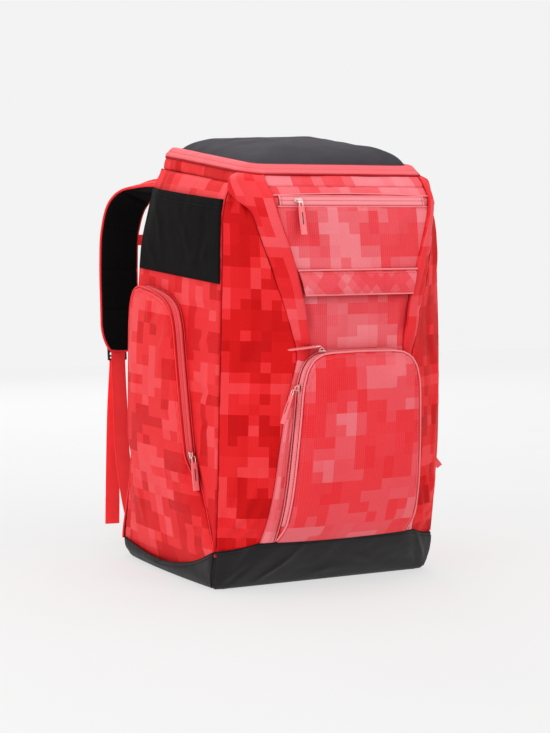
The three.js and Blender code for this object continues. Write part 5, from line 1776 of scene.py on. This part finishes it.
def swell(obj, pin):
    """Inflates obj as cloth with per-vertex pins (0 to 1) and keeps the result."""
    before = coords(obj)
    group = obj.vertex_groups.new(name="pin")
    pin = np.round(pin, 2)
    for weight in np.unique(pin[pin > 0]):
        group.add([int(i) for i in np.nonzero(pin == weight)[0]], float(weight), "REPLACE")
    mod = obj.modifiers.new("cloth", "CLOTH")
    cloth = mod.settings
    cloth.vertex_group_mass = "pin"
    cloth.quality = 6
    cloth.mass = 0.25
    cloth.tension_stiffness = cloth.compression_stiffness = 18
    cloth.shear_stiffness = 5
    cloth.bending_stiffness = 3.0
    cloth.air_damping = 3
    cloth.use_pressure = True
    cloth.uniform_pressure_force = 3.0
    cloth.shrink_min = cloth.shrink_max = 0.0
    cloth.effector_weights.gravity = 0.0
    cloth.time_scale = 1.0
    mod.point_cache.frame_start = 1
    mod.point_cache.frame_end = PAD_FRAMES + 1
    scene = bpy.context.scene
    for number in range(1, PAD_FRAMES + 1):
        scene.frame_set(number)
    graph = bpy.context.evaluated_depsgraph_get()
    moved = coords(obj.evaluated_get(graph)) - before
    obj.modifiers.remove(mod)
    scene.frame_set(1)
    # a diverged simulation leaves the mesh as it was
    if not np.isfinite(moved).all():
        return
    length = np.linalg.norm(moved, axis=1, keepdims=True)
    set_coords(obj, before + moved * np.minimum(1.0, PAD_SWELL / np.maximum(length, 1e-9)))
    obj.vertex_groups.clear()


def back_pad(name, node, low, high, low_half, high_half, channels):
    """Foam pad: rounded block, swollen as cloth, then quilted.

    channels are functions of (x, z) giving the distance from a sewn line."""
    columns, rows = 46, max(14, int((high - low) / 5.5))
    u, v = np.meshgrid(np.linspace(-1, 1, columns), np.linspace(-1, 1, rows))
    # square to rounded square
    corner = 0.18
    round_u = u * np.sqrt(1 - corner * v * v / 2)
    round_v = v * np.sqrt(1 - corner * u * u / 2)
    round_u, round_v = round_u / round_u.max(), round_v / round_v.max()
    level = (low + high) / 2 + 0.5 * (high - low) * 0.985 * round_v
    x = (low_half + (high_half - low_half) * (round_v * 0.5 + 0.5)) * 0.985 * round_u
    edge = np.minimum(1 - np.abs(u), 1 - np.abs(v))
    bulge = 11.0 * np.clip(edge / 0.16, 0, 1) ** 0.5 + 1.0
    verts = np.stack([back_map(x, level, 2.2 + bulge), back_map(x, level, 1.9)])
    count = columns * rows
    faces = grid_faces(columns, rows, flip=True)
    faces += [tuple(i + count for i in face) for face in grid_faces(columns, rows)]
    index = np.arange(count).reshape(rows, columns)
    loop = [*index[0, :], *index[1:, -1], *index[-1, -2::-1], *index[-2:0:-1, 0]]
    faces += [(a, b, b + count, a + count) for a, b in zip(loop, loop[1:] + loop[:1])]
    obj = fix_normals(mesh_object(name, verts, faces, M_MESH))
    mod = obj.modifiers.new("remesh", "REMESH")
    mod.mode = "VOXEL"
    mod.voxel_size = 0.0052
    apply_modifiers(obj)
    _, y, z = coords(obj).T
    depth = y - back_y(z)
    pin = np.clip(1.0 - (depth - 2.2) / 4.0, 0, 1)
    swell(obj, np.where(depth < 3.0, 1.0, pin * 0.5))
    points = coords(obj)
    x, y, z = points.T
    depth = y - back_y(z)
    groove = np.zeros(len(points))
    for channel in channels:
        groove = np.maximum(groove, bell(channel(x, z), 4.2))
    y = y - np.minimum(7.0, np.maximum(0, depth - 4.5)) * groove * smooth01((depth - 5.0) / 5.0)
    y = np.where(y - back_y(z) < 1.3, back_y(z) + 1.3, y)
    points[:, 1] = np.minimum(y, back_y(z) + 19.5)
    set_coords(obj, points)
    obj.data.materials.clear()
    obj.data.materials.append(M_MESH)
    subdivide(obj)
    shade(obj, 180)
    smooth_faces(obj)
    finish(obj, "back_mesh", BODY, node)


def rung(level):
    """Sewn line outside the middle column, rising away from it."""
    return lambda x, z: (np.abs(z - level - 0.25 * np.abs(x))
                         + np.where(np.abs(x) > 32, 0, 60))


back_pad("lumbar_pad", "back_pad_lumbar", 60, 205, 120, 125,
         [lambda x, z: np.abs(np.abs(x) - 42.0 - 0.08 * (z - 130)),
          lambda x, z: np.abs(z - 132) + np.where(np.abs(x) < 42, 0, 60)])
back_pad("upper_pad", "back_pad_upper", 232, 500, 118, 104,
         [lambda x, z: np.abs(np.abs(x) - 30.0), rung(298), rung(366), rung(434)])

# ------------------------------------------------------------------ shoulder straps
STRAP = [(60, 107, 572), (64, 128, 594), (74, 178, 604), (88, 240, 601), (102, 286, 586),
         (119, 309, 560), (130, 315, 518), (133, 316, 460), (133, 314, 390), (135, 306, 316)]
STRAP_POINTS = 190
STRAP_HALF = 32.0
STRAP_THICK = 12.5
PIPING_LINE = -6.0  # where the inner and outer cloths meet, along the normal
QUILT_ROWS = (0.16, 0.30, 0.44, 0.58, 0.72, 0.86)
WEB_WIDE = 25


def mirrored(points, sign):
    return np.array(points, float) * (sign, 1, 1)


def shoulder_strap(side, sign):
    strap = "strap_" + side
    path = catmull(mirrored(STRAP, sign), STRAP_POINTS)
    tangent, width, normal = frames_along(path, X_AXIS)
    normal = -normal  # towards the outer face
    part = np.arange(STRAP_POINTS) / (STRAP_POINTS - 1)
    # rolled outwards over the shoulder
    roll = np.radians(21.0) * smooth01(part / 0.06) * (1 - smooth01((part - 0.16) / 0.34))
    cos, sin = np.cos(roll)[:, None], np.sin(roll)[:, None]
    width, normal = width * cos - sign * normal * sin, normal * cos + sign * width * sin

    along = arc_length(path)
    half = STRAP_HALF * np.where(part < 0.12, 0.72 + 2.3 * part, 1.0)
    tip = np.sqrt(np.maximum(0.02, 1 - ((part - 0.9) / 0.1) ** 2 * 0.72))
    half = np.where(part > 0.9, STRAP_HALF * tip, half)[:, None]
    thick = STRAP_THICK * (0.55 + 0.45 * smooth01(part / 0.05))
    thick = thick * (1.0 - 0.35 * smooth01((part - 0.94) / 0.06))
    quilt = 1.0 - sum(0.42 * bell(along - row * along[-1], 3.4) for row in QUILT_ROWS)
    crumple = bell(part - 0.40, 0.09) * 1.2 * np.sin(along / 3.6) * 0.7
    thick, quilt, crumple = thick[:, None], quilt[:, None], crumple[:, None]
    run = along[:, None]
    angle = np.linspace(0, math.pi, 15)
    across = -np.cos(angle) * half
    arch = np.sin(angle) ** 0.42
    inner = PIPING_LINE - (thick - 6.0) * arch * quilt + crumple * arch
    inner = inner + 0.5 * ripple(across / 30, run / 36, 0.3, 151) * arch
    outer = PIPING_LINE + 5.6 * arch + 0.45 * ripple(across / 26, run / 30, 7.3, 153) * arch
    # stitched channel near both edges
    outer = outer - 0.9 * bell(np.abs(across) - (half - 7), 1.5)
    for name, off, mat in (("outer", outer, M_STRAP_OUT), ("inner", inner, M_STRAP_IN)):
        points = (path[:, None] + width[:, None] * across[..., None]
                  + normal[:, None] * off[..., None])
        obj = grid_object("strap_%s_%s" % (name, side), points, mat, uv_grid(across, run))
        if name == "inner":
            # turned to face away from the strap's middle
            obj.data.flip_normals()
        subdivide(solidify(obj, 1.2))
        nodes = ["shoulder_pad_" + side] if name == "outer" else []
        finish(obj, "strap_fabric", strap, *nodes)
    edges = [path + width * (s * (half + 0.4)) + normal * PIPING_LINE for s in (-1, 1)]
    loop = np.vstack([edges[0], edges[1][::-1], edges[0][:1]])
    finish(tube("strap_piping_" + side, resample(loop, 420)[:-1], 2.2, M_PIPE_RED, closed=True),
           "strap_fabric", strap)

    # webbing sewn down the middle of the outer face
    sewn = slice(int(STRAP_POINTS * 0.30), int(STRAP_POINTS * 0.985))
    middle, web_normal = path[sewn] + normal[sewn] * 0.35, normal[sewn]
    finish(sweep("strap_webbing_" + side, middle, width[sewn],
                 rounded_rect(WEB_WIDE, 1.5, 0.7, 2), M_WEB), "webbing", strap)
    for row, shift in (("a", -11.3), ("b", 11.3)):
        line = middle + width[sewn] * shift + web_normal * 0.75
        finish(stitch_row("strap_thread_%s_%s" % (row, side), line, web_normal, M_THREAD,
                          lift=0.1), "strap_fabric", strap)
    # small loops across the webbing
    for j, place in enumerate((0.52, 0.66, 0.80)):
        i = int(STRAP_POINTS * place)
        x = np.linspace(-14, 14, 12)
        line = (path[i] + normal[i] * 1.6 + width[i] * x[:, None]
                + normal[i] * (1.1 * np.cos(x / 14 * math.pi / 2) - 0.5)[:, None])
        finish(sweep("strap_loop_%d_%s" % (j, side), line, tangent[i],
                     rounded_rect(7, 1.2, 0.5, 2), M_WEB_BLACK), "webbing", strap)


for side, sign in SIDES:
    shoulder_strap(side, sign)

# ------------------------------------------------------------------ zip sliders and pulls
# Half outline of a slider plate and the mirrored half: x, y
PLATE = [(-5.6, 0), (-5.2, 1.9), (-3.6, 3.1), (-1.0, 3.1), (2.2, 3.7), (4.6, 4.0), (5.8, 3.6),
         (5.9, 2.0), (5.2, 0.9)]
PLATE += [(x, -y) for x, y in PLATE[:0:-1]]
PULL_LENGTH = 50.0
TAPE_START = 9.3  # where the tape begins below the pivot

# Slider body, pull body; then the slider's place, x and z axes; the pull's place, x and z axes
ZIPS = {
    "upper": ("upper_slider", "upper_pull",
              (-90, -240.85, 562.30), (1, 0, 0), (0, -0.958, 0.287),
              (-90, -249.38, 563.81), (1, 0, 0), (0, 0.24, 1)),
    "front_a": ("front_a_slider", "front_a_pull",
                (-62, -261, 349.90), (1, 0, 0), (0, 0, 1),
                (-64, -261, 358.30), (0, 1, 0), (1, 0, 0.08)),
    "front_b": ("front_b_slider", "front_b_pull",
                (-98.1, -259.25, 300), (-0.0522, 0.1147, -0.9920), (-1, 0, 0),
                (-106.7, -259.25, 298), (0, 1, 0), (0.35, 0, 0.937)),
    "boot_left": ("boot_slider_left", "boot_pull_left",
                  (-193.91, -105.42, 192), (0.0100, 0.2277, 0.9737), (0, -0.9737, 0.2277),
                  (-193.93, -114.25, 192.01), (1, 0, 0), (0.0100, 0.2277, 0.9737)),
    "boot_right": ("boot_slider_right", "boot_pull_right",
                   (193.91, -105.42, 192), (-0.0100, 0.2277, 0.9737), (0, -0.9737, 0.2277),
                   (193.93, -114.25, 192.01), (0.624, -0.4457, 0.6418), (-0.45, 0.45, 0.77)),
    "lid": ("lid_slider", "lid_pull",
            (131.94, 13.53, 636.60), (0.0119, -0.9934, -0.1142), (0, 0, 1),
            (141.44, 13.53, 641.20), (0.0119, -0.9934, -0.1142), (-0.55, 0, 0.84)),
}


def place(obj, position, x_axis, z_axis):
    z_axis = unit(z_axis)
    y_axis = unit(np.cross(z_axis, unit(x_axis)))
    axes = np.array([np.cross(y_axis, z_axis), y_axis, z_axis])
    set_coords(obj, coords(obj) @ axes + np.array(position, float))


def signed_power(x, power):
    return np.sign(x) * np.abs(x) ** power


def slider(name):
    """Two waisted plates, a bridge between them and a bail for the pull."""
    parts = []
    for low, high, size in ((0.05, 1.0, 1.0), (1.35, 2.5, 0.94)):
        stations = ((low, 0.9), (low + 0.2, 1.0), (high - 0.3, 1.0), (high, 0.86))
        rings = [[(x * grow * size, y * grow * size, z) for x, y in PLATE]
                 for z, grow in stations]
        parts.append(loft("part", rings, M_METAL))
    angle = np.linspace(0, math.pi, 15)
    bail = np.column_stack([-3.4 * np.cos(angle), np.zeros(15), 2.2 + 3.6 * np.sin(angle) ** 0.7])
    parts.append(tube("part", bail, 0.75, M_METAL))
    parts.append(tube("part", [(-4.2, 0, 0.6), (-4.2, 0, 1.9)], 1.1, M_METAL))
    obj = bevel(join(name, parts), width=0.16, segments=2, angle=40)
    shade(obj, 50)
    return obj


def pull_tape(z):
    """Fraction down the tape, half thickness and bow at z."""
    part = (-z - TAPE_START) / (PULL_LENGTH - TAPE_START)
    half = 1.05 + 0.25 * np.sin(np.pi * np.minimum(1, part * 1.2))
    return part, half, 0.27 * np.sin(np.pi * part)


def pull(name):
    """Wire link and a folded tape with a mark; hangs along -z from a bar along x."""
    angle = np.linspace(0, 2 * math.pi, 40, endpoint=False)
    link_x = signed_power(np.cos(angle), 0.55) * 2.8
    link_z = signed_power(np.sin(angle), 0.55) * 5.3 - 4.9
    wire = np.column_stack([link_x, np.zeros(40), link_z])
    parts = [tube("part", wire, 0.72, M_METAL, closed=True)]
    levels = np.concatenate([
        np.linspace(-TAPE_START, -11.5, 5), np.linspace(-13, -(PULL_LENGTH - 2.5), 30),
        np.linspace(-(PULL_LENGTH - 1.8), -PULL_LENGTH, 4)])
    rings = []
    for z in levels:
        part, thick, bow = pull_tape(z)
        wide = 4.4 + 0.5 * smooth01(part * 3)
        thick += 0.5 if part < 0.06 else 0
        if part > 0.985:
            wide -= 0.25
            thick *= 0.8
        ring = rounded_rect(2 * wide, 2 * thick, 0.75)
        rings.append(np.column_stack([ring[:, 0], ring[:, 1] + bow, np.full(len(ring), z)]))
    uv = uv_grid(np.linspace(0, 20, len(rings[0])), -levels[:, None])
    parts.append(loft("part", rings, M_PULL, uv))
    # mark down the middle of both faces
    levels = np.linspace(-18, -36, 22)
    _, thick, bow = pull_tape(levels)
    for face in (-1, 1):
        rings = []
        for z, y in zip(levels, face * (thick + 0.12) + bow):
            size = 1.0 if 0 < abs(z + 27) < 8.6 else 0.5
            sunk = y - face * 0.3
            rings.append([(-0.8 * size, sunk, z), (-0.7 * size, y, z),
                          (0.7 * size, y, z), (0.8 * size, sunk, z)])
        parts.append(loft("part", rings, M_PULL_MARK, uv_grid(np.zeros(4), -levels[:, None])))
    # edge stitches
    levels = np.linspace(-15, -(PULL_LENGTH - 4), 20)
    _, thick, bow = pull_tape(levels)
    for edge in (-1, 1):
        for face in (-1, 1):
            path = np.column_stack([np.full(20, edge * 3.6), face * thick + bow, levels])
            parts.append(stitch_row("part", path, face * Y_AXIS, M_THREAD_PALE,
                                    pitch=2.2, length=1.5, radius=0.2, lift=-0.05))
    obj = join(name, parts)
    shade(obj, 60)
    return obj


for stem, (slider_body, pull_body, *frames) in ZIPS.items():
    obj = slider("slider_" + stem)
    place(obj, *frames[:3])
    finish(obj, "zip_metal", slider_body, stem + "_slider")
    obj = pull("pull_" + stem)
    place(obj, *frames[3:])
    finish(obj, "pull_tape", pull_body, stem + "_pull")

# ------------------------------------------------------------------ webbing, buckles, handle
LOWER_WEB = [(136.5, 306.6, 323), (137, 305.0, 303), (138.5, 300.5, 282), (143, 284, 230),
             (151, 256, 150), (158, 216, 85), (163, 184, 50), (165.5, 169.5, 34)]
TAIL_WEB = [(136.9, 313.6, 299.6), (137, 313.4, 294), (140, 317, 220), (144, 315, 120),
            (147, 312, 24)]
TAIL_POINTS = 90


def lower_webbing(side, sign):
    """Webbing from the strap's end down to the base."""
    path = catmull(mirrored(LOWER_WEB, sign), 60)
    _, width, normal = frames_along(path, X_AXIS)
    # a slight twist, greatest at mid-length
    twist = 0.10 * np.sin(np.linspace(0, math.pi, 60))[:, None]
    _, width, normal = frames_along(path, unit(width + normal * twist))
    finish(sweep("lower_web_" + side, path, width, rounded_rect(WEB_WIDE, 1.7, 0.7), M_WEB),
           "webbing", "strap_" + side, "lower_webbing_" + side)
    for j, shift in enumerate((-10.6, 10.6)):
        line = (path + width * shift + normal * 0.85)[3:-4]
        finish(stitch_row("lower_web_thread_%s_%d" % (side, j), line, normal[3:-4], M_THREAD,
                          pitch=4.0, lift=0.0), "webbing", "strap_" + side)


def webbing_tail(side, sign):
    """Loose end hanging from the ladder lock, doubled near its tip."""
    path = catmull(mirrored(TAIL_WEB, sign), TAIL_POINTS)
    _, width, normal = frames_along(path, X_AXIS)
    profiles = []
    for i in range(TAIL_POINTS):
        thick = 1.7 if i / (TAIL_POINTS - 1) < 0.84 else 3.0
        profiles.append(rounded_rect(WEB_WIDE, thick, min(0.8, thick / 2.3)))
    finish(sweep("tail_web_" + side, path, width, profiles, M_WEB),
           "webbing", "tail_" + side, "webbing_tail_" + side)
    first = int(TAIL_POINTS * 0.86)
    x = np.linspace(-11, 11, 12)[:, None]
    for row, i in enumerate((first, first + 3)):
        for j, face in enumerate((-1, 1)):
            line = path[i] + width[i] * x + normal[i] * (face * 1.5)
            finish(stitch_row("tail_thread_%s_%d_%d" % (side, row, j), line, normal[i] * face,
                              M_THREAD, pitch=2.6, length=1.9, lift=0.05),
                   "webbing", "tail_" + side)


for side, sign in SIDES:
    lower_webbing(side, sign)
    webbing_tail(side, sign)


def source(node):
    """Object of a CAD node, which may be listed by name."""
    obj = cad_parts[node]
    return bpy.data.objects[obj] if isinstance(obj, str) else obj


def softened(node, name, body, width):
    """Copy of a moulded node with bevelled edges."""
    original = source(node)
    mesh = original.data.copy()
    mesh.name = name
    obj = link(bpy.data.objects.new(name, mesh))
    obj.matrix_world = original.matrix_world.copy()
    mesh.materials.clear()
    mesh.materials.append(M_PLASTIC)
    weld(obj, 0.01)
    bevel(obj, width, segments=3, angle=32)
    shade(obj, 38)
    finish(obj, "buckle_plastic", body, node)


for side, _ in SIDES:
    softened("ladder_lock_" + side, "ladder_buckle_" + side, "strap_" + side, 0.8)
softened("sternum_buckle_female", "chest_buckle_female", "sternum_right", 0.9)
softened("sternum_buckle_male", "chest_buckle_male", "sternum_left", 0.7)

CHEST_Y, CHEST_Z = 322.0, 500.0
angle = np.linspace(0, 2 * math.pi, 33)[:-1]
keeper_y = 1.5 * signed_power(np.cos(angle), 0.4)
keeper_z = 10.0 * signed_power(np.sin(angle), 0.4)
# side, ends of the webbing, x of the two keepers
for side, start, end, keepers in (("left", -138, -6.5, (-108, -18.5)),
                                  ("right", 23.5, 138, (35.5, 108))):
    name, body = "chest_web_" + side, "sternum_" + side
    path = np.column_stack([np.linspace(start, end, 50), np.full(50, CHEST_Y),
                            np.full(50, CHEST_Z)])
    finish(sweep(name, path, Z_AXIS, rounded_rect(18, 1.6, 0.7), M_WEB),
           "webbing", body, "sternum_web_" + side)
    for j, x in enumerate(keepers):
        rings = [np.column_stack([np.full(32, x + shift), keeper_y * size + CHEST_Y,
                                  keeper_z * (0.97 + 0.03 * size) + CHEST_Z])
                 for shift, size in ((-4, 0.82), (-3.8, 1.0), (3.8, 1.0), (4, 0.82))]
        finish(loft("%s_keeper_%d" % (name, j), rings, M_WEB_BLACK), "webbing", body)

HAUL_LOOP = [(-24, 109, 574), (-24, 110, 598), (-13, 112, 617), (13, 112, 617), (24, 110, 598),
             (24, 109, 574)]
path = catmull(HAUL_LOOP, 80)
profiles = [rounded_rect(18, 3.0 + 0.8 * math.sin(math.pi * i / 79), 1.2, 4) for i in range(80)]
obj = subdivide(sweep("haul_loop", path, Y_AXIS, profiles, M_WEB_BLACK))
finish(obj, "black_fabric", "haul_handle", "haul_handle")
_, _, normal = frames_along(path, Y_AXIS)
for j, shift in enumerate((-6.8, 6.8)):
    line = (path + shift * Y_AXIS + normal * 1.75)[3:-3]
    finish(stitch_row("haul_thread_%d" % j, line, normal[3:-3], M_THREAD_DARK,
                      pitch=3.0, length=2.0, lift=0.1), "black_fabric", "haul_handle")

# inside: CAD nodes that stay get their cloth and sheet finishes
INSIDE = {"boot_divider_left": M_LINING, "boot_divider_right": M_LINING,
          "frame_sheet": M_SHEET, "base_board": M_SHEET, "base_floor": M_BASE}
for node, mat in INSIDE.items():
    materials = source(node).data.materials
    materials.clear()
    materials.append(mat)


# ------------------------------------------------------------------ floor, light, camera (metres)
def floor_material():
    """Grey that glows a little, more so away from the bag."""
    g = Graph("floor_plain", rough=0.9, spec=0.1, glow=(1.0, 1.0, 1.0, 1))
    cloud = g.noise(g.obj(), scale=3.0)
    distance = g.node("ShaderNodeVectorMath", [g.obj()], out="Value", operation="LENGTH")
    far = g.div(g.sub(distance, 0.45), 2.6, clamp=True)
    return g.set(color=g.mix(cloud, (0.23, 0.23, 0.23, 1), (0.25, 0.25, 0.25, 1)),
                 normal=g.bump(g.noise(g.obj(), scale=120.0), strength=0.05, dist=0.0005),
                 glow_strength=g.add(g.mul(far, 0.085), 0.625))


FLOOR_HALF, FLOOR_Z = 3500, -0.6  # mm
x, y = np.meshgrid(*[np.linspace(-FLOOR_HALF, FLOOR_HALF, 41)] * 2)
grid_object("floor", np.dstack([x, y, np.full_like(x, FLOOR_Z)]), floor_material())


def area_light(name, location, aim_z, size, watts):
    """Rectangular light aimed at a point on the z axis."""
    light = bpy.data.lights.new(name, "AREA")
    light.shape = "RECTANGLE"
    light.size, light.size_y = size
    light.energy = watts
    obj = link(bpy.data.objects.new(name, light))
    obj.location = Vector(location)
    aim = Vector((0, 0, aim_z)) - Vector(location)
    obj.rotation_euler = aim.to_track_quat("-Z", "Y").to_euler()


area_light("key_right", (1.5, -2.4, 1.9), aim_z=0.35, size=(1.6, 1.6), watts=16.0)
area_light("fill_left", (-2.6, -1.0, 1.3), aim_z=0.3, size=(1.4, 1.6), watts=25.0)
area_light("top", (0.1, -0.1, 2.6), aim_z=0.4, size=(1.8, 1.8), watts=20.0)
area_light("back", (0.4, 2.6, 1.5), aim_z=0.35, size=(2.0, 1.6), watts=16.0)

WORLD_LIGHT = 0.62  # strength as a light
WORLD_SEEN = 0.895  # strength as seen by the camera
scene = bpy.context.scene
world = bpy.data.worlds.new("studio")
world.use_nodes = True
tree = world.node_tree
background = tree.nodes["Background"]
background.inputs[0].default_value = (1.0, 1.0, 1.0, 1)
light_path = tree.nodes.new("ShaderNodeLightPath")
strength = tree.nodes.new("ShaderNodeMix")
strength.data_type = "FLOAT"
tree.links.new(light_path.outputs["Is Camera Ray"], strength.inputs[0])
strength.inputs[2].default_value = WORLD_LIGHT
strength.inputs[3].default_value = WORLD_SEEN
tree.links.new(strength.outputs[0], background.inputs[1])
scene.world = world
scene.view_settings.view_transform = "Standard"
scene.view_settings.look = "None"

camera = bpy.data.cameras.new("camera")
camera.sensor_fit = "VERTICAL"
camera.sensor_height = 36.0
camera.sensor_width = 36.0
camera.lens = 88.40382
camera.clip_end = 20.0
turn, down = math.radians(27.52), math.radians(4.87)  # from +Y towards +X, and below level
view = Vector((math.sin(turn) * math.cos(down), math.cos(turn) * math.cos(down),
               -math.sin(down)))
obj = link(bpy.data.objects.new("camera", camera))
obj.location = Vector((-1.290, -2.475, 0.545))
obj.rotation_euler = view.to_track_quat("-Z", "Y").to_euler()
scene.camera = obj
